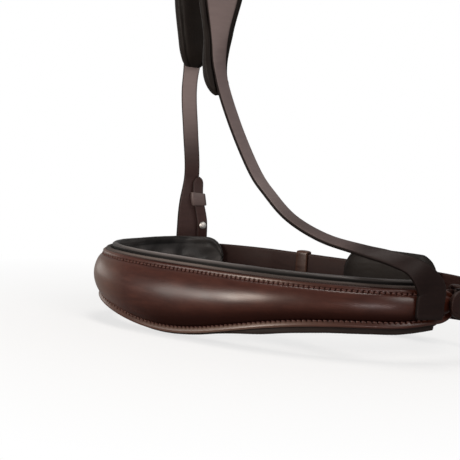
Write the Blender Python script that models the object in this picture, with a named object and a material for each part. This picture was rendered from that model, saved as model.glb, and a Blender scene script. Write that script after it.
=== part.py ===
"""Padded crank noseband of a bridle, with its two hangers, crown strap and chin closure.

Metres, +Z up. The origin is the underside of the crown pad at the top of its arch, where a
horse's poll or a bridle bracket carries the bridle. The noseband hangs below it. Seen from
above, the noseband follows one closed line, the loop, and every noseband piece is placed by
three numbers: how far along the loop, how far outward from it, and how high.
"""
import math

import bmesh
import bpy
from mathutils import Vector

UP = Vector((0.0, 0.0, 1.0))
CLEARANCE = 0.0003

# Loop of the noseband, seen from above
LOOP_HALF_LENGTH = 0.130
LOOP_HALF_DEPTH = 0.075
LOOP_POWER = 3.2
NEAR_ARM_POWER = 2.0
CHIN_SIDE_DEPTH = 0.0725
NOSE_CENTRE_X = -0.045
CROWN_X = -0.084
CROWN_Y = 0.002
RIM_BELOW_CROWN = 0.275

# Nosepiece, half of it on each side of the nose centre
ARM_LENGTH = 0.206
ARM_TIP = 0.014
ARM_END_WIDTH = 0.0215
ARM_TAPER_FROM = ARM_LENGTH - 0.046
NOSE_WIDTH = 0.0465
ARM_WIDTH = 0.0260
NOSE_SPREAD = 0.057
RIM_TO_LEATHER = 0.0049
RIM_TO_BACKING = 0.0032
PAD_HEM_NOSE = 0.0014
PAD_HEM_ARM = 0.0046
HEM_WIDENING = (0.040, 0.085)
LINING_THICKNESS = 0.0065
BACKING_THICKNESS = 0.0039
BACKING_LENGTH = ARM_LENGTH - 0.016
LEATHER_THICKNESS = 0.0022
NOSE_CROWN = 0.0075
ARM_CROWN = 0.0022
TOP_MARGIN = 0.0040
BOTTOM_MARGIN = 0.0046
FILLER_LENGTH = ARM_LENGTH - 0.056

# Chin strap and what rides on it
STRAP_WIDTH = 0.019
STRAP_THICKNESS = 0.0030
STRAP_DROP = 0.0145
STRAP_SEWN_END = ARM_LENGTH - 0.0155
STRAP_FREE_END = ARM_LENGTH - 0.0105
KEEPER_WIDTH = 0.0095
KEEPER_WALL = 0.0015
KEEPER_X = -0.035
CHIN_PAD_LOW_X = 0.0075
CHIN_PAD_LENGTH = 0.080
CHIN_PAD_WIDTH = 0.042
CHIN_PAD_THICKNESS = 0.011
CHIN_LEATHER_THICKNESS = 0.0022
CHIN_LEATHER_WIDTH = 0.034
CHIN_LOOP_WIDTH = 0.010
CHIN_LOOP_XS = (0.022, 0.052)

# Roller buckle at the right arm
BUCKLE_CENTRE = ARM_LENGTH + 0.027
BUCKLE_REACH = 0.012
BUCKLE_OUT = 0.0064
BUCKLE_WIRE = 0.0016
BUCKLE_HALF_HEIGHT = 0.0126
ROLLER_RADIUS = 0.0027
ROLLER_BORE = 0.0019
ROLLER_LENGTH = 0.0190
TONGUE_RADIUS = 0.0011
TONGUE_OVERHANG = 0.0035
CHAPE_THICKNESS = 0.0020
CHAPE_WIDTH = 0.0170
CHAPE_RETURN = 0.0080
BUCKLE_KEEPER_AT = ARM_LENGTH + 0.005
BUCKLE_KEEPER_WIDTH = 0.006
TONGUE_SLOT_WIDTH = 0.0042
STRAP_SLOT_LENGTH = 0.0155
STRAP_SLOT_FROM_BAR = -0.0003
STRAP_HOLE_RADIUS = 0.0020
STRAP_HOLE_PITCH = 0.0125
STRAP_HOLE_COUNT = 3

# Hangers and crown
HANGER_AT = ARM_LENGTH - 0.0232
HANGER_WIDTH = 0.0115
HANGER_THICKNESS = 0.0025
HANGER_BASE_WIDTH = 0.0205
HANGER_BASE_DROP = 0.024
LEFT_FLARE = 0.045
RIGHT_FLARE = 0.024
CROWN_WIDTH = 0.028
CROWN_ARCH_RADIUS = 0.0356
CROWN_PAD_THICKNESS = 0.0090
CROWN_SPRING_HEIGHT = (RIM_BELOW_CROWN - CROWN_ARCH_RADIUS + 0.5 * HANGER_THICKNESS + CLEARANCE
                       + CROWN_PAD_THICKNESS)
CROWN_TURN = math.radians(-38.9)
HANGER_UPRIGHT = 0.050
HANGER_LEAN = 0.001
CROWN_PAD_OVERLAP = 0.0040
CROWN_PAD_TIP = 0.016
LEFT_WIDENING = (0.104, 0.175)
RIGHT_WIDENING = (0.140, 0.195)
LEFT_PAD_FOOT = 0.128
RIGHT_PAD_FOOT = 0.111

# Billets that fasten the hangers
BILLET_WIDTH = 0.0080
BILLET_THICKNESS = 0.0020
BILLET_FROM = 0.0180
BILLET_TO = 0.0692
BILLET_OFFSET = 0.0080
BILLET_KEEPER_FROM = 0.0487
BILLET_KEEPER_LENGTH = 0.0100
BILLET_KEEPER_WALL = 0.0012
STUD_FROM = 0.0340
STUD_HEAD_RADIUS = 0.0027
STUD_NECK_RADIUS = 0.0013
STUD_HEAD_LENGTH = 0.0025

# Hangers between the noseband and the crown: places as shares of the loop's half length, its
# half depth and the crown's height, and the way the outer face looks
RIGHT_HANGER_ROUTE = (
    ((-0.317, -0.235, 0.332), (0.93, -0.16, 0.31)),
    ((-0.156, -0.275, 0.216), (0.90, -0.18, 0.40)),
    ((-0.033, -0.341, 0.161), (0.82, -0.21, 0.52)),
    ((0.166, -0.448, 0.112), (0.73, -0.26, 0.63)),
    ((0.430, -0.563, 0.082), (0.58, -0.34, 0.74)),
    ((0.685, -0.655, 0.073), (0.52, -0.42, 0.74)),
    ((0.850, -0.637, 0.064), (0.62, -0.50, 0.60)),
    ((0.965, -0.540, 0.031), (0.80, -0.55, 0.24)),
)
LEFT_HANGER_ROUTE = (
    ((-0.927, 0.519, 0.291), (-0.75, 0.66, 0.00)),
    ((-0.898, 0.359, 0.400), (-0.77, 0.63, 0.00)),
)

BROWN_LEATHER = ("brown_leather", (0.075, 0.026, 0.018), 0.35, 0.0)
DARK_LEATHER = ("dark_leather", (0.040, 0.022, 0.018), 0.45, 0.0)
BLACK_PADDING = ("black_padding", (0.016, 0.016, 0.017), 0.60, 0.0)
DARK_BINDING = ("dark_binding", (0.045, 0.036, 0.033), 0.50, 0.0)
STEEL = ("steel", (0.62, 0.61, 0.59), 0.25, 1.0)


def smooth(low, high, value):
    """Smooth ramp from 0 at low to 1 at high."""
    share = min(max((value - low) / (high - low), 0.0), 1.0)
    return share * share * (3.0 - 2.0 * share)


def signed_power(value, power):
    return math.copysign(abs(value) ** power, value)


def loop_table(steps=720):
    """Points of the loop by distance, from the nose centre towards +X."""
    points = []
    for step in range(steps):
        turn = 2.0 * math.pi * step / steps
        near_arm = math.cos(turn) > 0.0 and math.sin(turn) < 0.0
        power = NEAR_ARM_POWER if near_arm else LOOP_POWER
        x = LOOP_HALF_LENGTH * signed_power(math.cos(turn), 2.0 / power)
        y = LOOP_HALF_DEPTH * signed_power(math.sin(turn), 2.0 / power)
        points.append(Vector((x, min(y, CHIN_SIDE_DEPTH), 0.0)))
    near_side = [i for i in range(steps) if points[i].y < 0.0]
    first = min(near_side, key=lambda i: abs(points[i].x - NOSE_CENTRE_X))
    points = points[first:] + points[:first] + [points[first]]
    distances = [0.0]
    for here, after in zip(points, points[1:]):
        distances.append(distances[-1] + (after - here).length)
    return points, distances


LOOP_POINTS, LOOP_DISTANCES = loop_table()
LOOP_LENGTH = LOOP_DISTANCES[-1]
CROWN_SHIFT = Vector((-CROWN_X, -CROWN_Y, -RIM_BELOW_CROWN))


def loop_point(along):
    along = along % LOOP_LENGTH
    low, high = 0, len(LOOP_DISTANCES) - 1
    while high - low > 1:
        middle = (low + high) // 2
        if LOOP_DISTANCES[middle] <= along:
            low = middle
        else:
            high = middle
    share = (along - LOOP_DISTANCES[low]) / (LOOP_DISTANCES[high] - LOOP_DISTANCES[low])
    return LOOP_POINTS[low].lerp(LOOP_POINTS[high], share)


def loop_outward(along, reach=0.004):
    tangent = (loop_point(along + reach) - loop_point(along - reach)).normalized()
    return Vector((tangent.y, -tangent.x, 0.0))


def at_loop(along, outward, height):
    """World place of a point on the noseband. Height counts from the rim, the pad's top edge."""
    return loop_point(along) + loop_outward(along) * outward + UP * height + CROWN_SHIFT


def chin_side(x):
    """Distance along the loop to the place x on its chin side."""
    low, high = 0.25 * LOOP_LENGTH, 0.85 * LOOP_LENGTH
    while high - low > 1e-6:
        middle = 0.5 * (low + high)
        if loop_point(middle).x > x:
            low = middle
        else:
            high = middle
    return 0.5 * (low + high)


def clear_scene():
    for old in list(bpy.data.objects):
        bpy.data.objects.remove(old, do_unlink=True)


def material(finish):
    name, colour, roughness, metallic = finish
    made = bpy.data.materials.get(name)
    if made is None:
        made = bpy.data.materials.new(name)
        made.use_nodes = True
        shader = made.node_tree.nodes["Principled BSDF"]
        shader.inputs["Base Color"].default_value = (*colour, 1.0)
        shader.inputs["Roughness"].default_value = roughness
        shader.inputs["Metallic"].default_value = metallic
    return made


def add_object(name, mesh, finish, origin=Vector((0.0, 0.0, 0.0))):
    """Object from a mesh in world places, with its own origin."""
    for vertex in mesh.vertices:
        vertex.co -= origin
    mesh.materials.append(material(finish))
    made = bpy.data.objects.new(name, mesh)
    made.location = origin
    bpy.context.collection.objects.link(made)
    return made


def mesh_from(name, work):
    bmesh.ops.recalc_face_normals(work, faces=work.faces)
    mesh = bpy.data.meshes.new(name)
    work.to_mesh(mesh)
    work.free()
    mesh.shade_smooth()
    mesh.set_sharp_from_angle(angle=math.radians(35.0))
    return mesh


def loft(name, rings, finish, closed=False, origin=Vector((0.0, 0.0, 0.0))):
    """Closed solid through rings of points, capped at both ends or joined to itself."""
    work = bmesh.new()
    made = [[work.verts.new(point) for point in ring] for ring in rings]
    pairs = list(zip(made, made[1:]))
    if closed:
        pairs.append((made[-1], made[0]))
    for ring, after in pairs:
        count = len(ring)
        for i in range(count):
            j = (i + 1) % count
            work.faces.new((ring[i], ring[j], after[j], after[i]))
    if not closed:
        work.faces.new(made[0][::-1])
        work.faces.new(made[-1])
    return add_object(name, mesh_from(name, work), finish, origin)


def strip_section(low_out, high_out, top, bottom, edge):
    """Strip section as (outward, height) pairs, with bevelled edges."""
    edge = min(edge, 0.45 * (high_out - low_out), 0.45 * (top - bottom))
    return [(low_out + edge, top), (high_out - edge, top), (high_out, top - edge),
            (high_out, bottom + edge), (high_out - edge, bottom), (low_out + edge, bottom),
            (low_out, bottom + edge), (low_out, top - edge)]


def loop_rings(alongs, section):
    return [[at_loop(s, out, height) for out, height in section(s)] for s in alongs]


def spaced(low, high, count):
    return [low + (high - low) * i / (count - 1) for i in range(count)]


def eased_ends(low, high, count, tip):
    """Stations along a piece, closer together where its ends round off."""
    ends = [tip * (1.0 - math.cos(math.radians(angle))) for angle in (8, 26, 46, 68)]
    inner = spaced(low + tip, high - tip, count)
    return [low + e for e in ends] + inner + [high - e for e in reversed(ends)]


def tip_share(distance, tip):
    """Half-round end: share of the full width at a distance from the end."""
    share = min(max(1.0 - distance / tip, 0.0), 1.0)
    return math.sqrt(max(1.0 - share * share, 0.0))


def cut(body, cutter):
    cutter.hide_render = True
    cutter.display_type = 'WIRE'
    change = body.modifiers.new("cut_" + cutter.name, 'BOOLEAN')
    change.operation = 'DIFFERENCE'
    change.solver = 'EXACT'
    change.object = cutter
    return change


def box_cutter(name, centre, axes, sizes):
    rings = []
    for side in (-0.5, 0.5):
        ring = []
        for a, b in ((-0.5, -0.5), (0.5, -0.5), (0.5, 0.5), (-0.5, 0.5)):
            ring.append(centre + axes[0] * sizes[0] * side + axes[1] * sizes[1] * a
                        + axes[2] * sizes[2] * b)
        rings.append(ring)
    return loft(name, rings, STEEL)


def turned(name, base, axis, profile, finish, sides=16, origin=Vector((0.0, 0.0, 0.0)),
           ring_closed=False):
    """Round piece about an axis, from (distance along, radius) pairs."""
    side = axis.orthogonal().normalized()
    other = axis.cross(side)
    rings = []
    for distance, radius in profile:
        ring = []
        for i in range(sides):
            turn = 2.0 * math.pi * (i + 0.5) / sides
            ring.append(base + axis * distance
                        + (side * math.cos(turn) + other * math.sin(turn)) * radius)
        rings.append(ring)
    return loft(name, rings, finish, closed=ring_closed, origin=origin)


# Nosepiece

NOSE_STATIONS = eased_ends(-ARM_LENGTH, ARM_LENGTH, 49, ARM_TIP)


def nose_stations(half_length):
    """Stations of the nosepiece that lie within a length, the same for every layer."""
    return [along for along in NOSE_STATIONS if abs(along) <= half_length]


def spread(along):
    """1 at the nose centre, falling to 0 along the arms."""
    return math.exp(-0.5 * (abs(along) / NOSE_SPREAD) ** 2)


def leather_width(along):
    taper = (ARM_WIDTH - ARM_END_WIDTH) * smooth(ARM_TAPER_FROM, ARM_LENGTH, abs(along))
    return ARM_WIDTH + (NOSE_WIDTH - ARM_WIDTH) * spread(along) - taper


def leather_crown(along):
    return ARM_CROWN + (NOSE_CROWN - ARM_CROWN) * spread(0.8 * along)


def hem(along):
    return PAD_HEM_NOSE + (PAD_HEM_ARM - PAD_HEM_NOSE) * smooth(*HEM_WIDENING, abs(along))


def arm_heights(along, top, bottom):
    """Top and bottom heights, drawn together round the arm's tip."""
    share = tip_share(ARM_LENGTH - abs(along), ARM_TIP)
    return -STRAP_DROP + (top + STRAP_DROP) * share, -STRAP_DROP + (bottom + STRAP_DROP) * share


def leather_heights(along):
    top = -RIM_TO_LEATHER
    return arm_heights(along, top, top - leather_width(along))


LEATHER_LOW = BACKING_THICKNESS + 2.0 * CLEARANCE


def crown_bump(inside):
    """Raised middle of the leather, by the share of the way between its stitched margins."""
    if inside <= 0.0 or inside >= 1.0:
        return 0.0
    return math.sin(math.pi * inside) ** 0.7


def between_margins(top, bottom, inside):
    low_margin = min(TOP_MARGIN, 0.3 * (top - bottom))
    high_margin = min(BOTTOM_MARGIN, 0.3 * (top - bottom))
    upper, lower = top - low_margin, bottom + high_margin
    return upper + (lower - upper) * inside


RAISED_SHARES = (0.03, 0.09, 0.20, 0.34, 0.5, 0.66, 0.80, 0.91, 0.97)
CORE_SHARES = (0.06, 0.20, 0.34, 0.5, 0.66, 0.80, 0.94)


def nose_leather():
    def section(along):
        top, bottom = leather_heights(along)
        crown = leather_crown(along)
        face, edge = LEATHER_LOW + LEATHER_THICKNESS, 0.0006
        upper = between_margins(top, bottom, 0.0)
        lower = between_margins(top, bottom, 1.0)
        pairs = [(face - edge, top), (face, top + 0.15 * (upper - top)), (face, upper)]
        pairs += [(face + crown * crown_bump(inside), between_margins(top, bottom, inside))
                  for inside in RAISED_SHARES]
        pairs += [(face, lower), (face, bottom + 0.15 * (lower - bottom)), (face - edge, bottom)]
        pairs += [(LEATHER_LOW, bottom), (LEATHER_LOW, lower)]
        pairs += [(LEATHER_LOW + crown * crown_bump(inside), between_margins(top, bottom, inside))
                  for inside in CORE_SHARES[::-1]]
        pairs += [(LEATHER_LOW, upper), (LEATHER_LOW, top)]
        return pairs

    return loft("nose_leather", loop_rings(NOSE_STATIONS, section), BROWN_LEATHER)


def nose_filler():
    """Felt core that raises the middle of the leather."""
    def section(along):
        top, bottom = leather_heights(along)
        crown = leather_crown(along)
        core = CORE_SHARES[1:-1]
        pairs = [(LEATHER_LOW + crown * crown_bump(inside) - 2.0 * CLEARANCE,
                  between_margins(top, bottom, inside)) for inside in core]
        pairs += [(LEATHER_LOW, between_margins(top, bottom, inside)) for inside in core[::-2]]
        return pairs

    stations = nose_stations(FILLER_LENGTH)
    return loft("nose_filler", loop_rings(stations, section), BLACK_PADDING)


def nose_backing():
    """Bound leather backing between the raised leather and the lining, seen as the outer roll."""
    def section(along):
        top, bottom = -RIM_TO_BACKING, -RIM_TO_LEATHER - leather_width(along) - hem(along)
        return strip_section(CLEARANCE, CLEARANCE + BACKING_THICKNESS, top, bottom, 0.0016)

    stations = nose_stations(BACKING_LENGTH)
    return loft("nose_backing", loop_rings(stations, section), DARK_BINDING)


def nose_lining():
    """Soft padded lining against the horse, with full rolled edges."""
    def section(along):
        bottom = -RIM_TO_LEATHER - leather_width(along) - hem(along) + 0.0006
        top, bottom = arm_heights(along, 0.0, bottom)
        share = 0.35 + 0.65 * tip_share(ARM_LENGTH - abs(along), ARM_TIP)
        low = -LINING_THICKNESS * share
        middle = 0.5 * (top + bottom)
        half = 0.5 * (top - bottom)
        roll = min(0.0028, 0.4 * half)
        return [(0.4 * low, top), (-0.0005, top - 0.4 * roll), (0.0, top - roll),
                (0.0, bottom + roll), (-0.0005, bottom + 0.4 * roll), (0.4 * low, bottom),
                (0.85 * low, bottom + 0.35 * roll), (low, bottom + 1.2 * roll),
                (0.86 * low, middle), (low, top - 1.2 * roll), (0.85 * low, top - 0.35 * roll)]

    return loft("nose_lining", loop_rings(NOSE_STATIONS, section), BLACK_PADDING)


# Chin strap

STRAP_LOW = CLEARANCE
STRAP_MIDDLE = STRAP_LOW + 0.5 * STRAP_THICKNESS
CHAPE_FOLD = BUCKLE_WIRE + 2.0 * CLEARANCE + 0.5 * CHAPE_THICKNESS
STRAP_OVER = (BUCKLE_OUT + CHAPE_FOLD + 0.5 * CHAPE_THICKNESS + CLEARANCE
              + 0.5 * STRAP_THICKNESS)
HEEL_AT = BUCKLE_CENTRE - BUCKLE_REACH
ROLLER_AT = BUCKLE_CENTRE + BUCKLE_REACH
SEWN_AT = LOOP_LENGTH - STRAP_SEWN_END


def strap_out(along):
    """Middle of the strap: over the buckle's heel bar, then down under its roller."""
    lift = 1.0 - smooth(HEEL_AT + 0.004, ROLLER_AT - 0.004, along)
    return STRAP_MIDDLE + (STRAP_OVER - STRAP_MIDDLE) * lift


def chin_strap():
    def section(along):
        middle = strap_out(along)
        half = 0.5 * STRAP_WIDTH * (0.35 + 0.65 * tip_share(along - STRAP_FREE_END, 0.009))
        return strip_section(middle - 0.5 * STRAP_THICKNESS, middle + 0.5 * STRAP_THICKNESS,
                             -STRAP_DROP + half, -STRAP_DROP - half, 0.0007)

    tip = [STRAP_FREE_END + d for d in (0.0, 0.0012, 0.003, 0.006)]
    over = spaced(STRAP_FREE_END + 0.0095, HEEL_AT + 0.003, 5)
    slope = spaced(HEEL_AT + 0.0045, ROLLER_AT - 0.003, 13)
    corner = spaced(ROLLER_AT, chin_side(0.066), 18)
    straight = spaced(chin_side(0.060), chin_side(-0.062), 4)
    rest = spaced(chin_side(-0.067), SEWN_AT, 8)
    strap = loft("chin_strap", loop_rings(tip + over + slope + corner + straight + rest, section),
                 DARK_LEATHER)
    slot_at = HEEL_AT + STRAP_SLOT_FROM_BAR + 0.5 * STRAP_SLOT_LENGTH
    cut(strap, box_cutter("tongue_slot_cutter", at_loop(slot_at, strap_out(slot_at), -STRAP_DROP),
                          loop_axes(slot_at), (STRAP_SLOT_LENGTH, 0.03, TONGUE_SLOT_WIDTH)))
    for index in range(STRAP_HOLE_COUNT):
        hole_at = ROLLER_AT + 0.006 + STRAP_HOLE_PITCH * index
        outward = loop_outward(hole_at)
        base = at_loop(hole_at, STRAP_MIDDLE - 0.004, -STRAP_DROP)
        cut(strap, turned("strap_hole_cutter_%d" % index, base, outward,
                          ((0.0, STRAP_HOLE_RADIUS), (0.008, STRAP_HOLE_RADIUS)), STEEL, 10))
    return strap


def loop_axes(along):
    """Along the loop, outward and up at a place on it."""
    outward = loop_outward(along)
    return Vector((-outward.y, outward.x, 0.0)), outward, UP


def sleeve(name, along, width, low_out, high_out, half_height, finish):
    """Leather loop round a strap: a closed band with a bevelled outside."""
    wall, edge = KEEPER_WALL, 0.0007
    middle = -STRAP_DROP
    along_axis, outward, up = loop_axes(along)
    centre = at_loop(along, 0.0, middle)
    rings = []
    for low, high, half in ((low_out, high_out, half_height),
                            (low_out - wall, high_out + wall, half_height + wall)):
        inner = low == low_out
        for side in ((0.5, -0.5) if inner else (-0.5, 0.5)):
            ring = []
            for out, height in strip_section(low, high, half, -half, edge):
                ring.append(centre + along_axis * width * side + outward * out + up * height)
            rings.append(ring)
    return loft(name, rings, finish, closed=True, origin=centre)


def strap_sleeve(name, along, width, finish):
    return sleeve(name, along, width, STRAP_LOW - CLEARANCE,
                  STRAP_LOW + STRAP_THICKNESS + CLEARANCE, 0.5 * STRAP_WIDTH + CLEARANCE, finish)


CHIN_LEATHER_OUT = -KEEPER_WALL - CLEARANCE
CHIN_PAD_OUT = CHIN_LEATHER_OUT - CHIN_LEATHER_THICKNESS - CLEARANCE
CHIN_PAD_FROM = chin_side(CHIN_PAD_LOW_X)
CHIN_PAD_TO = CHIN_PAD_FROM - CHIN_PAD_LENGTH


def chin_pad_leather():
    tip = 0.012
    trim = 0.5 * (CHIN_PAD_WIDTH - CHIN_LEATHER_WIDTH)
    low, high = CHIN_PAD_TO + trim, CHIN_PAD_FROM - trim

    def section(along):
        share = tip_share(min(along - low, high - along), tip)
        half = 0.5 * CHIN_LEATHER_WIDTH * share
        return strip_section(CHIN_LEATHER_OUT - CHIN_LEATHER_THICKNESS, CHIN_LEATHER_OUT,
                             -STRAP_DROP + half, -STRAP_DROP - half, 0.0006)

    return loft("chin_pad_leather", loop_rings(eased_ends(low, high, 9, tip), section),
                DARK_LEATHER)


def chin_pad_cushion():
    """Crowned cushion under the chin strap, drawn in round its edge."""
    tip = 0.015
    fractions = (1.0, 0.96, 0.80, 0.45, 0.0, -0.45, -0.80, -0.96, -1.0)

    def section(along):
        share = tip_share(min(along - CHIN_PAD_TO, CHIN_PAD_FROM - along), tip)
        half = 0.5 * CHIN_PAD_WIDTH * share
        thick = CHIN_PAD_THICKNESS * (0.3 + 0.7 * share)
        pairs = []
        for f in fractions:
            bulge = (1.0 - abs(f) ** 4) ** 0.5
            pairs.append((CHIN_PAD_OUT - 0.25 * thick - 0.75 * thick * bulge,
                          -STRAP_DROP + half * f))
        pairs += [(CHIN_PAD_OUT, -STRAP_DROP + 0.93 * half * f) for f in (-1.0, 0.0, 1.0)]
        return pairs

    return loft("chin_pad_cushion",
                loop_rings(eased_ends(CHIN_PAD_TO, CHIN_PAD_FROM, 11, tip), section),
                BLACK_PADDING)


# Buckle

def buckle_axes():
    """Centre and directions of the flat buckle, its heel bar on the chape's fold."""
    heel = at_loop(HEEL_AT, BUCKLE_OUT, -STRAP_DROP)
    along_axis = (at_loop(ROLLER_AT, BUCKLE_OUT, -STRAP_DROP) - heel).normalized()
    outward = Vector((along_axis.y, -along_axis.x, 0.0))
    return heel + along_axis * BUCKLE_REACH, along_axis, outward, UP


def wire(name, points, radius, finish, cyclic, origin):
    curve = bpy.data.curves.new(name, 'CURVE')
    curve.dimensions = '3D'
    curve.bevel_depth = radius
    curve.bevel_resolution = 2
    curve.use_fill_caps = True
    spline = curve.splines.new('POLY')
    spline.points.add(len(points) - 1)
    for knot, point in zip(spline.points, points):
        knot.co = (*(point - origin), 1.0)
    spline.use_cyclic_u = cyclic
    spline.use_smooth = True
    curve.materials.append(material(finish))
    made = bpy.data.objects.new(name, curve)
    made.location = origin
    bpy.context.collection.objects.link(made)
    return made


def buckle_frame():
    centre, along_axis, outward, up = buckle_axes()
    corner, points = 0.0030, []
    for quarter, (x, z) in enumerate(((1, 1), (-1, 1), (-1, -1), (1, -1))):
        for step in range(4):
            turn = math.radians(90.0 * quarter + 30.0 * step)
            points.append(centre
                          + along_axis * (x * (BUCKLE_REACH - corner) + corner * math.cos(turn))
                          + up * (z * (BUCKLE_HALF_HEIGHT - corner) + corner * math.sin(turn)))
    return wire("buckle_frame", points, BUCKLE_WIRE, STEEL, True, centre)


def buckle_roller():
    centre, along_axis, outward, up = buckle_axes()
    middle = centre + along_axis * BUCKLE_REACH
    half = 0.5 * ROLLER_LENGTH
    profile = ((-half, ROLLER_BORE), (-half, ROLLER_RADIUS), (half, ROLLER_RADIUS),
               (half, ROLLER_BORE))
    return turned("buckle_roller", middle, up, profile, STEEL, 16, middle, ring_closed=True)


def buckle_tongue():
    """Round tongue, curled about the heel bar, lying on the roller."""
    centre, along_axis, outward, up = buckle_axes()
    heel = centre - along_axis * BUCKLE_REACH
    curl = BUCKLE_WIRE + 1.5 * CLEARANCE + TONGUE_RADIUS
    points = []
    for angle in (-30, -62, -94, -126, -158, -190, -222, -254):
        turn = math.radians(angle)
        points.append(heel + along_axis * curl * math.cos(turn) + outward * curl * math.sin(turn))
    rest = ROLLER_RADIUS + CLEARANCE + TONGUE_RADIUS
    reach = 2.0 * BUCKLE_REACH + TONGUE_OVERHANG
    points.append(heel + along_axis * 0.004 + outward * (curl + 0.0002))
    points.append(heel + along_axis * 2.0 * BUCKLE_REACH + outward * rest)
    points.append(heel + along_axis * reach + outward * (rest - 0.0006))
    return wire("buckle_tongue", points, TONGUE_RADIUS, STEEL, False, heel)


def buckle_chape():
    """Folded tab that holds the buckle: under the bar, round it and back on itself."""
    fold = CHAPE_FOLD
    sewn = spaced(STRAP_SEWN_END, HEEL_AT - 0.009, 6)
    route = [(along, STRAP_LOW + 0.5 * CHAPE_THICKNESS) for along in sewn]
    route.append((HEEL_AT - 0.005, BUCKLE_OUT - fold - 0.0007))
    for angle in (-90, -60, -30, 0, 30, 60, 90):
        turn = math.radians(angle)
        route.append((HEEL_AT + fold * math.cos(turn), BUCKLE_OUT + fold * math.sin(turn)))
    lap = STRAP_LOW + 1.5 * CHAPE_THICKNESS + CLEARANCE
    route += [(HEEL_AT - 0.004, BUCKLE_OUT + fold - 0.0018),
              (HEEL_AT - CHAPE_RETURN, lap + 0.0004),
              (HEEL_AT - CHAPE_RETURN - 0.0055, lap)]
    rings = []
    for index, (along, out) in enumerate(route):
        before = route[max(index - 1, 0)]
        after = route[min(index + 1, len(route) - 1)]
        run = Vector((after[0] - before[0], after[1] - before[1])).normalized()
        ring = []
        for across, height in strip_section(-0.5 * CHAPE_THICKNESS, 0.5 * CHAPE_THICKNESS,
                                            0.5 * CHAPE_WIDTH, -0.5 * CHAPE_WIDTH, 0.0005):
            ring.append(at_loop(along + run.y * across, out - run.x * across,
                                -STRAP_DROP + height))
        rings.append(ring)
    chape = loft("buckle_chape", rings, DARK_LEATHER)
    slot_width = 2.0 * TONGUE_RADIUS + 6.0 * CLEARANCE
    centre = at_loop(HEEL_AT + 0.0005, BUCKLE_OUT, -STRAP_DROP)
    cut(chape, box_cutter("chape_slot_cutter", centre, loop_axes(HEEL_AT),
                          (0.0125, 0.012, slot_width)))
    return chape


def buckle_keeper():
    """Fixed loop behind the buckle, round the tab and the strap's free end."""
    return sleeve("buckle_keeper", BUCKLE_KEEPER_AT, BUCKLE_KEEPER_WIDTH, STRAP_LOW - CLEARANCE,
                  STRAP_OVER + 0.5 * STRAP_THICKNESS + CLEARANCE,
                  0.5 * STRAP_WIDTH + CLEARANCE, DARK_LEATHER)


# Hangers and crown

HANGER_OUT = (LEATHER_LOW + LEATHER_THICKNESS + leather_crown(HANGER_AT) + CLEARANCE
              + 0.5 * HANGER_THICKNESS)


def lean(height):
    """How far the left hanger leans in over the noseband above the rim."""
    return HANGER_LEAN * max(height / HANGER_UPRIGHT, 0.0) ** 1.3


def crown_frame():
    across = Vector((math.cos(CROWN_TURN), math.sin(CROWN_TURN), 0.0))
    middle = Vector((CROWN_X, CROWN_Y, 0.0))
    return middle, across


def route_place(shares):
    return Vector((shares[0] * LOOP_HALF_LENGTH, shares[1] * LOOP_HALF_DEPTH,
                   shares[2] * RIM_BELOW_CROWN))


def headpiece_knots():
    """Places and outward normals from the left base, over the crown, to the right base."""
    knots = []
    left_out = loop_outward(-HANGER_AT)
    heights = [-HANGER_BASE_DROP * part for part in (1.0, 0.4)]
    heights += [HANGER_UPRIGHT * part for part in (0.08, 0.5, 1.0)]
    for height in heights:
        place = loop_point(-HANGER_AT) + left_out * (HANGER_OUT - lean(height)) + UP * height
        knots.append((place, left_out))
    for shares, normal in LEFT_HANGER_ROUTE:
        knots.append((route_place(shares), Vector(normal)))
    middle, across = crown_frame()
    left = middle - across * CROWN_ARCH_RADIUS
    right = middle + across * CROWN_ARCH_RADIUS
    for part in (0.56, 0.72, 0.88):
        knots.append((left + UP * CROWN_SPRING_HEIGHT * part, -across))
    for step in range(0, 9):
        turn = math.pi * (1.0 - step / 8.0)
        radial = across * math.cos(turn) + UP * math.sin(turn)
        knots.append((middle + UP * CROWN_SPRING_HEIGHT + radial * CROWN_ARCH_RADIUS, radial))
    for part in (0.88, 0.72, 0.60):
        knots.append((right + UP * CROWN_SPRING_HEIGHT * part, across))
    knots.append((right + UP * CROWN_SPRING_HEIGHT * 0.496, Vector((0.96, -0.15, 0.20))))
    for shares, normal in RIGHT_HANGER_ROUTE:
        knots.append((route_place(shares), Vector(normal)))
    right_out = loop_outward(HANGER_AT)
    for part in (0.17, 0.54, 1.0):
        place = loop_point(HANGER_AT) + right_out * HANGER_OUT - UP * HANGER_BASE_DROP * part
        knots.append((place, right_out))
    return knots


def blend(p0, p1, p2, p3, share):
    """Smooth curve between p1 and p2."""
    square, cube = share * share, share * share * share
    return 0.5 * (2.0 * p1 + (p2 - p0) * share + (2.0 * p0 - 5.0 * p1 + 4.0 * p2 - p3) * square
                  + (3.0 * p1 - p0 - 3.0 * p2 + p3) * cube)


def headpiece_stations(fine=8):
    """Fine places along the headpiece: (distance, place, run, normal, side, height, on left)."""
    knots = headpiece_knots()
    places, normals = [], []
    for index in range(len(knots) - 1):
        around = [knots[min(max(index + k, 0), len(knots) - 1)] for k in (-1, 0, 1, 2)]
        for step in range(fine):
            share = step / fine
            places.append(blend(*[knot[0] for knot in around], share))
            normals.append(around[1][1].lerp(around[2][1], share).normalized())
    places.append(knots[-1][0])
    normals.append(knots[-1][1])
    stations = []
    distance = 0.0
    top = max(range(len(places)), key=lambda i: places[i].z)
    for index, place in enumerate(places):
        before = places[max(index - 1, 0)]
        after = places[min(index + 1, len(places) - 1)]
        run = (after - before).normalized()
        normal = (normals[index] - run * run.dot(normals[index])).normalized()
        if index:
            distance += (place - places[index - 1]).length
        stations.append((distance, place, run, normal, run.cross(normal), index <= top))
    return stations


HEADPIECE = headpiece_stations()
HEADPIECE_LENGTH = HEADPIECE[-1][0]


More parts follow.
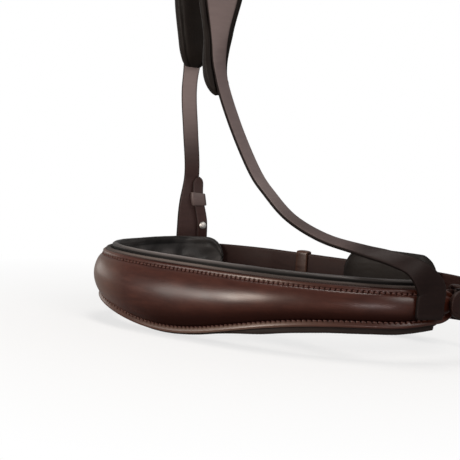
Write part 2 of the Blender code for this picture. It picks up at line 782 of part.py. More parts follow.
def headpiece_width(station):
    distance, place, run, normal, side, on_left = station
    low, high = LEFT_WIDENING if on_left else RIGHT_WIDENING
    widening = smooth(low, high, place.z)
    flare = LEFT_FLARE if on_left else RIGHT_FLARE
    from_end = distance if on_left else HEADPIECE_LENGTH - distance
    base = 1.0 - smooth(0.83 * HANGER_BASE_DROP, HANGER_BASE_DROP + flare, from_end)
    return (HANGER_WIDTH + (CROWN_WIDTH - HANGER_WIDTH) * widening
            + (HANGER_BASE_WIDTH - HANGER_WIDTH) * base)


def ribbon_ring(station, low, high, half, edge):
    distance, place, run, normal, side, on_left = station
    return [place + normal * out + side * across + CROWN_SHIFT
            for out, across in strip_section(low, high, half, -half, edge)]


def headpiece_strap():
    half_thick = 0.5 * HANGER_THICKNESS
    rings = [ribbon_ring(station, -half_thick, half_thick, 0.5 * headpiece_width(station), 0.0006)
             for station in HEADPIECE[::3]]
    return loft("headpiece_strap", rings, DARK_LEATHER)


def crown_pad():
    """Soft pad under the crown, wider than the leather, with rounded ends."""
    inside = [station for station in HEADPIECE
              if station[1].z > (LEFT_PAD_FOOT if station[5] else RIGHT_PAD_FOOT)]
    first, last = inside[0][0], inside[-1][0]
    top = -0.5 * HANGER_THICKNESS - CLEARANCE
    rings = []
    for station in inside[::3]:
        share = tip_share(min(station[0] - first, last - station[0]) + 0.0012, CROWN_PAD_TIP)
        half = (0.5 * headpiece_width(station) + CROWN_PAD_OVERLAP) * (0.3 + 0.7 * share)
        thick = CROWN_PAD_THICKNESS * (0.25 + 0.75 * share)
        rings.append(ribbon_ring(station, top - thick, top, half, 0.38 * thick))
    return loft("crown_pad", rings, BLACK_PADDING)


# Billets, their keepers and studs

def up_hanger(from_base, on_left):
    """Place, way up the strap, outer normal and sideways direction at a distance from its foot."""
    wanted = from_base if on_left else HEADPIECE_LENGTH - from_base
    index = 1
    while HEADPIECE[index][0] < wanted:
        index += 1
    before, after = HEADPIECE[index - 1], HEADPIECE[index]
    share = (wanted - before[0]) / (after[0] - before[0])
    place = before[1].lerp(after[1], share)
    run = before[2].lerp(after[2], share).normalized()
    normal = before[3].lerp(after[3], share).normalized()
    return place, run if on_left else -run, normal, run.cross(normal)


def billet_offset(from_base):
    return BILLET_OFFSET - 0.0025 * smooth(0.045, 0.066, from_base)


def billet_point(on_left, from_base, sideways, inward):
    """Point by distance up the hanger, sideways and inward from the billet's outer face."""
    place, run, normal, side = up_hanger(from_base, on_left)
    stand_off = CLEARANCE + (BILLET_KEEPER_WALL + 2.0 * CLEARANCE) * smooth(0.019, 0.035, from_base)
    return (place - normal * (0.5 * HANGER_THICKNESS + stand_off + inward)
            + side * (sideways - billet_offset(from_base)) + CROWN_SHIFT)


KEEPER_STATIONS = [BILLET_KEEPER_FROM + BILLET_KEEPER_LENGTH * part for part in (0.0, 0.5, 1.0)]


def billet(name, on_left):
    rings = []
    stations = (spaced(BILLET_FROM, BILLET_KEEPER_FROM, 9) + KEEPER_STATIONS[1:]
                + [BILLET_TO - rest for rest in (0.0050, 0.0032, 0.0017, 0.0005)])
    for station in stations:
        half = 0.5 * BILLET_WIDTH * max(tip_share(BILLET_TO - station, 0.006), 0.3)
        rings.append([billet_point(on_left, station, across, inward)
                      for inward, across in strip_section(0.0, BILLET_THICKNESS,
                                                          half, -half, 0.0005)])
    return loft(name, rings, DARK_LEATHER)


def billet_keeper(name, on_left):
    """Small closed loop round the billet alone."""
    rings = []
    walls = ((CLEARANCE, KEEPER_STATIONS[::-1]), (CLEARANCE + BILLET_KEEPER_WALL, KEEPER_STATIONS))
    for grow, stations in walls:
        for station in stations:
            half = 0.5 * BILLET_WIDTH + grow
            rings.append([billet_point(on_left, station, across, inward)
                          for inward, across in strip_section(-grow, BILLET_THICKNESS + grow,
                                                              half, -half, 0.0004)])
    return loft(name, rings, BROWN_LEATHER, closed=True)


def stud_line(on_left):
    base = billet_point(on_left, STUD_FROM, 0.0, 0.0)
    return base, -up_hanger(STUD_FROM, on_left)[2]


def hook_stud(name, on_left):
    """Round-headed stud with its neck through the billet and its head towards the horse."""
    base, inward = stud_line(on_left)
    front = BILLET_THICKNESS + 2.0 * CLEARANCE
    profile = ((0.0002, STUD_NECK_RADIUS),
               (front, STUD_NECK_RADIUS),
               (front + 0.0002, STUD_HEAD_RADIUS * 0.92),
               (front + 0.0008, STUD_HEAD_RADIUS),
               (front + 0.0017, STUD_HEAD_RADIUS * 0.86),
               (front + STUD_HEAD_LENGTH, STUD_HEAD_RADIUS * 0.45))
    return turned(name, base, inward, profile, STEEL, 14, base)


def stud_hole(body, name, on_left):
    base, inward = stud_line(on_left)
    radius = STUD_NECK_RADIUS + CLEARANCE
    cut(body, turned(name, base - inward * 0.003, inward, ((0.0, radius), (0.008, radius)),
                     STEEL, 14))


def main():
    clear_scene()
    nose_leather()
    nose_filler()
    nose_backing()
    nose_lining()
    chin_strap()
    strap_sleeve("chin_strap_keeper", chin_side(KEEPER_X), KEEPER_WIDTH, BROWN_LEATHER)
    chin_pad_leather()
    chin_pad_cushion()
    for name, x in zip(("chin_pad_loop_left", "chin_pad_loop_right"), CHIN_LOOP_XS):
        strap_sleeve(name, chin_side(x), CHIN_LOOP_WIDTH, DARK_LEATHER)
    buckle_frame()
    buckle_roller()
    buckle_tongue()
    buckle_chape()
    buckle_keeper()
    headpiece_strap()
    crown_pad()
    strip = billet("left_billet", True)
    stud_hole(strip, "left_stud_hole_cutter", True)
    billet_keeper("left_billet_keeper", True)
    hook_stud("left_hook_stud", True)


main()
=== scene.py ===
"""Looks of the padded crank noseband: stitched leather, rolled binding, soft lining, straps, steel.

The noseband's pieces are placed by distance along its loop, distance outward from it and
height above its rim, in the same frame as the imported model. Lengths are in metres.
"""
import math

import bmesh
import bpy
import numpy as np
from mathutils import Matrix, Vector


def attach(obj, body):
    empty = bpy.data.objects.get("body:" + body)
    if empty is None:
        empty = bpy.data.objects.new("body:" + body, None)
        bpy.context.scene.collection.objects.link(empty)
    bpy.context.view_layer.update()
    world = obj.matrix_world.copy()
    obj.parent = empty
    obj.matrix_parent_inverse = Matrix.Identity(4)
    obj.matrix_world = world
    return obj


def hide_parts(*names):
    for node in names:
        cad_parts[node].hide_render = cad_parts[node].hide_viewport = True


UP = np.array((0.0, 0.0, 1.0))

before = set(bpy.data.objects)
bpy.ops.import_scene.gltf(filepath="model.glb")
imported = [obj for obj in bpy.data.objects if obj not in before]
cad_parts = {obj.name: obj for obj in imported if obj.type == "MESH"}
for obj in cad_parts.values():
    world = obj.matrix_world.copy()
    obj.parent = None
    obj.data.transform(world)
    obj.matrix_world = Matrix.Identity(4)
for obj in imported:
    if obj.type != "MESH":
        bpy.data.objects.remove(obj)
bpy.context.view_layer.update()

# Noseband loop, seen from above

HALF_LENGTH = 0.130
HALF_DEPTH = 0.075
LOOP_POWER = 3.2
NEAR_ARM_POWER = 2.0
CHIN_SIDE_DEPTH = 0.0725
NOSE_CENTRE_X = -0.045
SHIFT = np.array((0.084, -0.002, -0.275))


def loop_table(steps=2880):
    """Places round the loop from the middle of the nose, and their distances along it."""
    turn = np.linspace(0.0, 2.0 * math.pi, steps, endpoint=False)
    near_arm = (np.cos(turn) > 0.0) & (np.sin(turn) < 0.0)
    power = 2.0 / np.where(near_arm, NEAR_ARM_POWER, LOOP_POWER)
    x = HALF_LENGTH * np.sign(np.cos(turn)) * np.abs(np.cos(turn)) ** power
    y = HALF_DEPTH * np.sign(np.sin(turn)) * np.abs(np.sin(turn)) ** power
    y = np.minimum(y, CHIN_SIDE_DEPTH)
    far = np.where(y < 0.0, np.abs(x - NOSE_CENTRE_X), np.inf)
    first = int(np.argmin(far))
    points = np.column_stack((x, y, np.zeros(steps)))
    points = np.vstack((points[first:], points[:first], points[first:first + 1]))
    distances = np.concatenate(([0.0], np.cumsum(np.linalg.norm(np.diff(points, axis=0), axis=1))))
    return points, distances


LOOP_POINTS, LOOP_DISTANCES = loop_table()
LOOP_LENGTH = float(LOOP_DISTANCES[-1])


def loop_point(along):
    """Place on the loop at each distance along it."""
    along = np.mod(np.asarray(along, dtype=float), LOOP_LENGTH)
    return np.stack([np.interp(along, LOOP_DISTANCES, LOOP_POINTS[:, k]) for k in range(3)], -1)


def loop_outward(along, reach=0.004):
    """Level direction out of the loop at each distance."""
    tangent = loop_point(np.asarray(along) + reach) - loop_point(np.asarray(along) - reach)
    tangent /= np.linalg.norm(tangent, axis=-1, keepdims=True)
    return np.stack((tangent[..., 1], -tangent[..., 0], np.zeros_like(tangent[..., 0])), -1)


def at_loop(along, outward, height):
    """Places on the noseband, for single values or arrays of one shape."""
    along, outward, height = np.broadcast_arrays(along, outward, height)
    return (loop_point(along) + loop_outward(along) * outward[..., None]
            + height[..., None] * UP + SHIFT)


def chin_side(x):
    """Distance along the loop of the place at x on its chin side."""
    along = np.linspace(0.25 * LOOP_LENGTH, 0.85 * LOOP_LENGTH, 4000)
    return float(np.interp(-x, -loop_point(along)[:, 0], along))


def smooth(low, high, value):
    """Eases from 0 at the low value to 1 at the high one."""
    share = np.clip((value - low) / (high - low), 0.0, 1.0)
    return share * share * (3.0 - 2.0 * share)


def tip_share(distance, tip):
    """Share of the full width at a distance from the end of a rounded tip."""
    share = np.clip(1.0 - distance / tip, 0.0, 1.0)
    return np.sqrt(np.maximum(1.0 - share * share, 0.0))


def rows_normal(rows):
    """Each row scaled to a length of 1."""
    return rows / np.linalg.norm(rows, axis=-1, keepdims=True)


# Meshes

EDGE_SHADE = 0.95
EDGE_SHADE_FROM = 0.90
EDGE_SHADE_FADE = 0.06
CREASE_IN = 0.0016
CREASE_PROFILE = ((0.55, 0.0), (0.8, 0.5), (1.0, 1.0), (1.2, 0.5), (1.5, 0.0))
FACE_STEPS = 6
EDGE_LIMIT = 0.48
CREASE_LIMIT = 0.2
CREASE_SPAN = 1.6
FACE_INSET = 0.25


def mesh_piece(name, vertices, faces, material):
    """Smooth piece of one material."""
    mesh = bpy.data.meshes.new(name)
    mesh.from_pydata([tuple(v) for v in np.asarray(vertices)], [], faces)
    work = bmesh.new()
    work.from_mesh(mesh)
    bmesh.ops.recalc_face_normals(work, faces=work.faces)
    work.to_mesh(mesh)
    work.free()
    mesh.materials.append(material)
    mesh.shade_smooth()
    piece = bpy.data.objects.new(name, mesh)
    bpy.context.collection.objects.link(piece)
    return piece


def grid_faces(rows, columns, joined=False):
    """Faces over closed rings of points, capped at both ends unless the rings join up."""
    faces = []
    for row in range(rows if joined else rows - 1):
        after = (row + 1) % rows
        for column in range(columns):
            beside = (column + 1) % columns
            faces.append((row * columns + column, row * columns + beside,
                          after * columns + beside, after * columns + column))
    if not joined:
        faces.append(tuple(range(columns))[::-1])
        faces.append(tuple(range((rows - 1) * columns, rows * columns)))
    return faces


def edge_shade(heights, half):
    """Darkened edge of a strap, partly edge dye and partly painted shade: dark round its sides and
    fading just inside them.
    """
    share = np.abs(heights) / half
    return EDGE_SHADE * np.clip((share - EDGE_SHADE_FROM) / EDGE_SHADE_FADE, 0.0, 1.0)


def loft(name, rings, material, joined=False, **marks):
    """Closed piece through rings of points, with its painted shade and painted sheen marked at each
    point.
    """
    rings = np.asarray(rings)
    rows, columns = rings.shape[:2]
    piece = mesh_piece(name, rings.reshape(-1, 3), grid_faces(rows, columns, joined=joined),
                       material)
    for mark, values in marks.items():
        layer = piece.data.attributes.new(mark, 'FLOAT', 'POINT')
        layer.data.foreach_set("value", np.asarray(values, dtype=np.float32).ravel())
    return piece


def settle(piece, body, slot, *nodes, fill=None):
    """Rides the piece on its body and hides the solids it stands in for; fill is not used."""
    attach(piece, body)
    if nodes:
        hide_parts(*nodes)


def rounded_strip(low, high, top, bottom, edge, corner_steps=3, crease=0.0):
    """Strip section as (outward, height) pairs: rounded edges, creases along the outer face."""
    edge = min(edge, EDGE_LIMIT * (high - low), EDGE_LIMIT * (top - bottom))
    span = (top - bottom) - 2.0 * edge
    crease_in = min(CREASE_IN, CREASE_LIMIT * span)
    marks = [(crease_in * part, crease * deep) for part, deep in CREASE_PROFILE]
    inner = max(FACE_INSET * span, CREASE_SPAN * crease_in)
    middle = [(d, 0.0) for d in np.linspace(inner, span - inner, FACE_STEPS)]
    depths = marks + middle + [(span - d, sink) for d, sink in marks[::-1]]
    pairs = []
    corners = ((high - edge, top - edge, 90.0), (high - edge, bottom + edge, 0.0),
               (low + edge, bottom + edge, -90.0), (low + edge, top - edge, 180.0))
    for index, (out, height, start) in enumerate(corners):
        for step in range(corner_steps + 1):
            turn = math.radians(start - 90.0 * step / corner_steps)
            pairs.append((out + edge * math.cos(turn), height + edge * math.sin(turn)))
        if index == 0:
            pairs += [(high - sink, top - edge - depth) for depth, sink in depths]
        if index == 2:
            pairs += [(low, bottom + edge + depth) for depth, sink in depths]
    return pairs


# Shader parts

STREAKS_SEEN = (0.3, 0.7)
CLOUDS_SEEN = (0.25, 0.7)
CLOUD_DEPTH = 0.85
SHADE_DULLS_FROM = 0.3
MOTTLE_SEEN = (0.12, 0.42)
SHADED_GLOSS = 0.12


def new_group(name, inputs, outputs):
    """Group with its named inputs and their first values, its named outputs and its two ends."""
    group = bpy.data.node_groups.new(name, 'ShaderNodeTree')
    for label, value in inputs:
        socket = group.interface.new_socket(label, in_out='INPUT', socket_type='NodeSocketFloat')
        socket.default_value = value
    for label in outputs:
        group.interface.new_socket(label, in_out='OUTPUT', socket_type='NodeSocketFloat')
    return group, group.nodes.new('NodeGroupInput'), group.nodes.new('NodeGroupOutput')


def node(tree, kind, values=None, **settings):
    """New node, with its settings made before its inputs get their values."""
    made = tree.nodes.new(kind)
    for key, value in settings.items():
        setattr(made, key, value)
    for key, value in (values or {}).items():
        made.inputs[key].default_value = value
    return made


def feed(tree, socket, source):
    """Gives a socket a number, a colour or what another socket puts out."""
    if isinstance(source, (int, float)):
        socket.default_value = source
    elif isinstance(source, tuple):
        socket.default_value = (*source, 1.0)
    else:
        tree.links.new(source, socket)


def math_node(tree, operation, first, second):
    made = node(tree, 'ShaderNodeMath', operation=operation)
    feed(tree, made.inputs[0], first)
    feed(tree, made.inputs[1], second)
    return made.outputs[0]


def mix_colour(tree, factor, first, second):
    made = node(tree, 'ShaderNodeMix', data_type='RGBA')
    feed(tree, made.inputs['Factor'], factor)
    feed(tree, made.inputs[6], first)
    feed(tree, made.inputs[7], second)
    return made.outputs[2]


def ranged(tree, value, low, high, new_low, new_high):
    made = node(tree, 'ShaderNodeMapRange', {1: low, 2: high, 3: new_low})
    feed(tree, made.inputs[0], value)
    feed(tree, made.inputs[4], new_high)
    return made.outputs[0]


def object_places(tree):
    return tree.nodes.new('ShaderNodeTexCoord').outputs['Object']


def place_group(tree, group, values=None):
    return node(tree, 'ShaderNodeGroup', values, node_tree=group)


def grain_group():
    """Hide grain: small pebbles broken up by softer folds, and a mottled tint."""
    group, given, out = new_group(
        "hide_grain", (("Pebble Scale", 900.0), ("Pebble Depth", 0.5), ("Fold Depth", 0.4)),
        ("Height", "Mottle"))
    places = object_places(group)
    pebble = node(group, 'ShaderNodeTexVoronoi', {'Smoothness': 0.6}, feature='SMOOTH_F1')
    fold = node(group, 'ShaderNodeTexNoise', {'Scale': 120.0, 'Detail': 4.0, 'Roughness': 0.55})
    mottle = node(group, 'ShaderNodeTexNoise', {'Scale': 45.0, 'Detail': 5.0, 'Roughness': 0.6})
    link = group.links.new
    for texture in (pebble, fold, mottle):
        link(places, texture.inputs['Vector'])
    link(given.outputs['Pebble Scale'], pebble.inputs['Scale'])
    low = math_node(group, 'MULTIPLY', pebble.outputs['Distance'], given.outputs['Pebble Depth'])
    high = math_node(group, 'MULTIPLY', fold.outputs['Fac'], given.outputs['Fold Depth'])
    link(math_node(group, 'ADD', low, high), out.inputs['Height'])
    link(mottle.outputs['Fac'], out.inputs['Mottle'])
    return group


def polish_group():
    """Long soft streaks that a polishing cloth leaves along a band."""
    group, given, out = new_group("polish_streaks", (("Scale", 60.0), ("Stretch", 6.0)),
                                  ("Streaks",))
    stretch = node(group, 'ShaderNodeCombineXYZ', {'X': 1.0, 'Y': 1.0})
    scaled = node(group, 'ShaderNodeVectorMath', operation='MULTIPLY')
    streak = node(group, 'ShaderNodeTexNoise', {'Detail': 6.0, 'Roughness': 0.62})
    link = group.links.new
    link(given.outputs['Stretch'], stretch.inputs['Z'])
    link(object_places(group), scaled.inputs[0])
    link(stretch.outputs[0], scaled.inputs[1])
    link(scaled.outputs[0], streak.inputs['Vector'])
    link(given.outputs['Scale'], streak.inputs['Scale'])
    link(streak.outputs['Fac'], out.inputs['Streaks'])
    return group


def rub_group():
    """Raised places rubbed brighter and hollows left darker, from the surface's own shape."""
    group, given, out = new_group("edge_rub", (("Low", 0.50), ("High", 0.60)), ("Rub",))
    shape = group.nodes.new('ShaderNodeNewGeometry')
    ramp = node(group, 'ShaderNodeMapRange')
    link = group.links.new
    link(shape.outputs['Pointiness'], ramp.inputs['Value'])
    link(given.outputs['Low'], ramp.inputs['From Min'])
    link(given.outputs['High'], ramp.inputs['From Max'])
    link(ramp.outputs[0], out.inputs['Rub'])
    return group


def bloom_group():
    """Painted sheen and highlights where a piece has that mark, a little cloudy with the polish."""
    group, given, out = new_group("pale_bloom", (("Streaks", 0.5),), ("Painted Sheen",))
    mark = node(group, 'ShaderNodeAttribute', attribute_name="bloom")
    cloud = ranged(group, given.outputs['Streaks'], *CLOUDS_SEEN, CLOUD_DEPTH, 1.0)
    group.links.new(math_node(group, 'MULTIPLY', mark.outputs['Fac'], cloud),
                    out.inputs['Painted Sheen'])
    return group


def painted_shade_group():
    """Painted shade where a piece has the mark shade, and how dull it leaves the surface."""
    group, given, out = new_group("painted_shade_mask", (("Dullest", 0.7),), ("Shade", "Dullness"))
    mark = node(group, 'ShaderNodeAttribute', attribute_name="shade").outputs['Fac']
    group.links.new(mark, out.inputs['Shade'])
    group.links.new(ranged(group, mark, SHADE_DULLS_FROM, 1.0, 0.0, given.outputs['Dullest']),
                    out.inputs['Dullness'])
    return group


GRAIN = grain_group()
POLISH = polish_group()
RUB = rub_group()
SHEEN_GROUP = bloom_group()
SHADE_GROUP = painted_shade_group()


def new_material(name):
    made = bpy.data.materials.new(name)
    made.use_nodes = True
    return made, made.node_tree, made.node_tree.nodes['Principled BSDF']


def add_relief(tree, shader, height, strength, distance):
    relief = node(tree, 'ShaderNodeBump', {'Strength': strength, 'Distance': distance})
    tree.links.new(height, relief.inputs['Height'])
    tree.links.new(relief.outputs[0], shader.inputs['Normal'])


def leather(name, deep, light, rough, pebble_scale, pebble, fold, bump, specular,
            rough_spread=0.10, rub=None, shaded=None, bloom=None):
    """Leather: mottled between two colours, grained, polished in streaks, rubbed at its edges."""
    made, tree, shader = new_material(name)
    grain = place_group(tree, GRAIN, {'Pebble Scale': pebble_scale, 'Pebble Depth': pebble,
                                      'Fold Depth': fold})
    streaks = place_group(tree, POLISH).outputs['Streaks']
    blend = math_node(tree, 'MULTIPLY', grain.outputs['Mottle'], streaks)
    colour = mix_colour(tree, ranged(tree, blend, *MOTTLE_SEEN, 0.0, 1.0), deep, light)
    roughness = ranged(tree, streaks, *STREAKS_SEEN, rough - rough_spread, rough + rough_spread)
    # Painted sheen and highlights where a piece has that mark, mixed into the base colour
    if bloom:
        cloudy = place_group(tree, SHEEN_GROUP)
        tree.links.new(streaks, cloudy.inputs['Streaks'])
        colour = mix_colour(tree, cloudy.outputs['Painted Sheen'], colour, bloom)
    if rub:
        colour = mix_colour(tree, place_group(tree, RUB).outputs['Rub'], colour, rub)
    # Painted shade where a piece has the mark shade; it also dulls the surface and dims its gloss
    # there
    if shaded:
        shading = place_group(tree, SHADE_GROUP)
        colour = mix_colour(tree, shading.outputs['Shade'], colour, shaded)
        roughness = math_node(tree, 'MAXIMUM', roughness, shading.outputs['Dullness'])
        mark = node(tree, 'ShaderNodeAttribute', attribute_name="shade").outputs['Fac']
        tree.links.new(ranged(tree, mark, 0.0, 1.0, specular, SHADED_GLOSS * specular),
                       shader.inputs['Specular IOR Level'])
    shader.inputs['Specular IOR Level'].default_value = specular
    tree.links.new(colour, shader.inputs['Base Color'])
    tree.links.new(roughness, shader.inputs['Roughness'])
    add_relief(tree, shader, grain.outputs['Height'], 1.0, bump)
    return made


def waxed_thread(name, deep, light):
    """Waxed linen thread, with its twist as bump and a painted highlight on the twist's crowns."""
    made, tree, shader = new_material(name)
    twist = node(tree, 'ShaderNodeTexWave', {'Scale': 900.0, 'Distortion': 1.5})
    tree.links.new(object_places(tree), twist.inputs['Vector'])
    # Painted highlight: lighter where the twist stands up
    tree.links.new(mix_colour(tree, twist.outputs['Fac'], deep, light), shader.inputs['Base Color'])
    add_relief(tree, shader, twist.outputs['Fac'], 0.6, 0.0002)
    shader.inputs['Roughness'].default_value = 0.75
    shader.inputs['Specular IOR Level'].default_value = 0.2
    return made


def wiped_steel(name, smoothest, dullest):
    """Stainless steel with faint wipe marks."""
    made, tree, shader = new_material(name)
    marks = place_group(tree, POLISH, {'Scale': 160.0, 'Stretch': 0.35}).outputs['Streaks']
    tree.links.new(mix_colour(tree, marks, (0.50, 0.49, 0.47), (0.74, 0.73, 0.70)),
                   shader.inputs['Base Color'])
    tree.links.new(ranged(tree, marks, *STREAKS_SEEN, smoothest, dullest),
                   shader.inputs['Roughness'])
    shader.inputs['Metallic'].default_value = 1.0
    return made


NOSE_LEATHER = leather(
    "polished_nose_leather", deep=(0.025, 0.0048, 0.0020), light=(0.056, 0.0145, 0.0078),
    rough=0.31, rough_spread=0.03, pebble_scale=1500.0, pebble=0.25, fold=0.25, bump=0.00002,
    specular=0.36, rub=(0.080, 0.030, 0.020), shaded=(0.0085, 0.0013, 0.0005),
    bloom=(0.170, 0.118, 0.092))
STRAP_LEATHER = leather(
    "dark_strap_leather", deep=(0.0160, 0.0052, 0.0040), light=(0.0270, 0.0105, 0.0082),
    rough=0.48, pebble_scale=1300.0, pebble=0.20, fold=0.35, bump=0.00003, specular=0.16,
    rub=(0.034, 0.020, 0.016))
HANGER_LEATHER = leather(
    "hanger_leather", deep=(0.024, 0.0092, 0.0075), light=(0.042, 0.0182, 0.0152),
    rough=0.46, rough_spread=0.03, pebble_scale=1300.0, pebble=0.05, fold=0.12, bump=0.00001,
    specular=0.34, rub=(0.080, 0.058, 0.054), shaded=(0.0052, 0.0040, 0.0036),
    bloom=(0.290, 0.236, 0.230))
KEEPER_LEATHER = leather(
    "keeper_leather", deep=(0.022, 0.0072, 0.0040), light=(0.056, 0.022, 0.0125),
    rough=0.36, pebble_scale=1500.0, pebble=0.25, fold=0.35, bump=0.00004, specular=0.34,
    rub=(0.100, 0.050, 0.032))
BINDING_LEATHER = leather(
    "binding_leather", deep=(0.0125, 0.0088, 0.0074), light=(0.026, 0.0190, 0.0165),
    rough=0.50, pebble_scale=1100.0, pebble=0.3, fold=0.5, bump=0.00004, specular=0.12,
    rub=(0.050, 0.038, 0.034), bloom=(0.150, 0.124, 0.112))
LINING_LEATHER = leather(
    "soft_black_lining", deep=(0.0068, 0.0062, 0.0059), light=(0.0145, 0.0136, 0.0131),
    rough=0.42, pebble_scale=850.0, pebble=0.6, fold=1.0, bump=0.00005, specular=0.22,
    rub=(0.034, 0.029, 0.027), shaded=(0.002, 0.002, 0.002), bloom=(0.225, 0.203, 0.198))
CUSHION_LEATHER = leather(
    "cushion_leather", deep=(0.0062, 0.0041, 0.0031), light=(0.0112, 0.0080, 0.0062),
    rough=0.56, pebble_scale=900.0, pebble=0.6, fold=0.9, bump=0.00008, specular=0.14,
    shaded=(0.003, 0.003, 0.0025))
BROWN_THREAD = waxed_thread("brown_thread", deep=(0.060, 0.024, 0.019),
                            light=(0.150, 0.076, 0.064))
STEEL = wiped_steel("bright_steel", smoothest=0.13, dullest=0.28)
STUD_STEEL = wiped_steel("satin_stud_steel", smoothest=0.46, dullest=0.58)


# Shapes shared by the noseband's layers

ARM_LENGTH = 0.206
ARM_WIDTH = 0.0260
ARM_CROWN = 0.0022
ARM_HEM = 0.0032
NOSE_SPREAD = 0.057
NOSE_WIDENING = 0.0205
NOSE_CROWN = 0.0053
NOSE_HEM = 0.0014
ARM_TIP = 0.014
ARM_TAPER_FROM = ARM_LENGTH - 0.046
ARM_TAPER = 0.0045
STRAP_DROP = 0.0145
RIM_TO_LEATHER = 0.0049
RIM_TO_BACKING = 0.0032
LINING_THICKNESS = 0.0065
BACKING_FACE = 0.0042
LEATHER_LOW = 0.0045
LEATHER_THICKNESS = 0.0022
TOP_MARGIN = 0.0040
BOTTOM_MARGIN = 0.0046
TOP_LEAN = 0.0008
BOTTOM_LEAN = 0.0012
STITCH_FROM_TOP = 0.0034
STITCH_FROM_BOTTOM = 0.0041
STITCH_PITCH = 0.0034
STITCH_SLANT = 0.42
LAST_STITCH_IN = 0.010


def spread(along):
    """1 at the middle of the nose, falling softly to nothing along the arms."""
    return np.exp(-0.5 * (np.abs(along) / NOSE_SPREAD) ** 2)


def leather_width(along):
    """Width of the leather: broad at the nose, slim along the arms."""
    taper = ARM_TAPER * smooth(ARM_TAPER_FROM, ARM_LENGTH, np.abs(along))
    return ARM_WIDTH + NOSE_WIDENING * spread(along) - taper


def leather_crown(along):
    """How far the leather's dome stands out."""
    return ARM_CROWN + NOSE_CROWN * spread(0.8 * np.asarray(along))


def margin_lean(from_top, from_bottom):
    """Stitched margins lean back towards the top edge and out towards the bottom edge."""
    back = TOP_LEAN * np.clip(1.0 - from_top / TOP_MARGIN, 0.0, 1.0)
    return BOTTOM_LEAN * np.clip(1.0 - from_bottom / BOTTOM_MARGIN, 0.0, 1.0) - back


def hem(along):
    """How far the binding reaches below the leather."""
    return NOSE_HEM + ARM_HEM * smooth(0.040, 0.085, np.abs(along))


def arm_heights(along, top, bottom):
    """Top and bottom heights, drawn together where an arm's end rounds off."""
    share = tip_share(ARM_LENGTH - np.abs(along), ARM_TIP)
    return -STRAP_DROP + (top + STRAP_DROP) * share, -STRAP_DROP + (bottom + STRAP_DROP) * share


def leather_heights(along):
    """Heights of the leather's top and bottom edges."""
    return arm_heights(along, -RIM_TO_LEATHER, -RIM_TO_LEATHER - leather_width(along))


def nose_stations(half_length, step, tip=0.0):
    """Even stations along the nosepiece, closer together where an end rounds off."""
    inner = half_length - tip
    stations = np.linspace(-inner, inner, int(2.0 * inner / step) + 1)
    if tip:
        ends = tip * np.cos(np.radians(np.linspace(3.0, 84.0, 16)))
        stations = np.concatenate((-inner - ends, stations, inner + ends[::-1]))
    return stations


def soft_folds(along, height, size, seed):
    """Gentle uneven folds over a soft surface, as a mix of slow waves."""
    total = np.zeros(np.broadcast(along, height).shape)
    for index in range(7):
        turn = 2.399 * (index + seed)
        wave = (0.55 + 0.35 * index) / size
        phase = 1.7 * index + 3.1 * seed
        total += np.sin(2.0 * math.pi * wave * (along * math.cos(turn) + height * math.sin(turn))
                        + phase) / (1.0 + 0.6 * index)
    return total / 3.0


def stitch_places():
    """Distances along the loop of the stitch holes."""
    count = int(2.0 * (ARM_LENGTH - LAST_STITCH_IN) / STITCH_PITCH)
    return (np.arange(count) - 0.5 * (count - 1)) * STITCH_PITCH


# Nosepiece

# Stations over the leather, as shares of its stitched margins and of the dome between them
MARGIN_PARTS = np.array((0.0, 0.03, 0.10, 0.22, 0.38, 0.52, 0.60, 0.66, 0.72, 0.78, 0.84, 0.90,
                         0.96, 1.0))
DOME_PARTS = np.array((0.012, 0.03, 0.05, 0.08, 0.115, 0.16, 0.21, 0.27, 0.335, 0.40, 0.47, 0.53,
                       0.60, 0.665, 0.73, 0.79, 0.84, 0.885, 0.92, 0.95, 0.97, 0.988))

# Shape of the leather, its stitch holes and the pucker along each row
DOME_POWER = 0.62
DOME_FOLD = 0.00022
EDGE_DROP = 0.0010
EDGE_REACH = 0.0005
HOLE_WIDTH = 0.00042
HOLE_LENGTH = 0.00095
HOLE_DEPTH = 0.0008
PUCKER_WIDTH = 0.0011
PUCKER_DEPTH = 0.00026
MARGIN_LIMIT = 0.3

# Strength and reach of its painted shade, its painted reflection and its painted highlights
NOSE_SHADE = 0.85
SHADED_DOME = (0.52, 0.88)
SHADED_MARGIN = (0.86, 1.0)
SHADED_TOP_EDGE = (0.0005, 0.0011)
HOLE_SHADE = 0.80
PUCKER_SHADE = 0.20
SHADE_STOPS_IN = 0.008
SHADE_FADE = 0.004
SHEEN_SIDE = np.array((-0.835, -0.550, 0.0))
UNSHADED = (0.080, 0.120)
SHEEN_END = (0.108, 0.142)
END_SHEEN = 0.60
TOP_HIGHLIGHT = 0.30
TOP_HIGHLIGHT_AT = 0.018
TOP_HIGHLIGHT_REACH = 0.028
TOP_HIGHLIGHT_BAND = (0.0030, 0.0040)
BOTTOM_HIGHLIGHT = 0.75
BOTTOM_HIGHLIGHT_AT = 0.040
BOTTOM_HIGHLIGHT_REACH = 0.060
BOTTOM_HIGHLIGHT_BAND = (0.0034, 0.0042)


def hill(distance, reach):
    """1 where the distance is nothing, falling softly over its reach to either side."""
    return np.exp(-(distance / reach) ** 2)


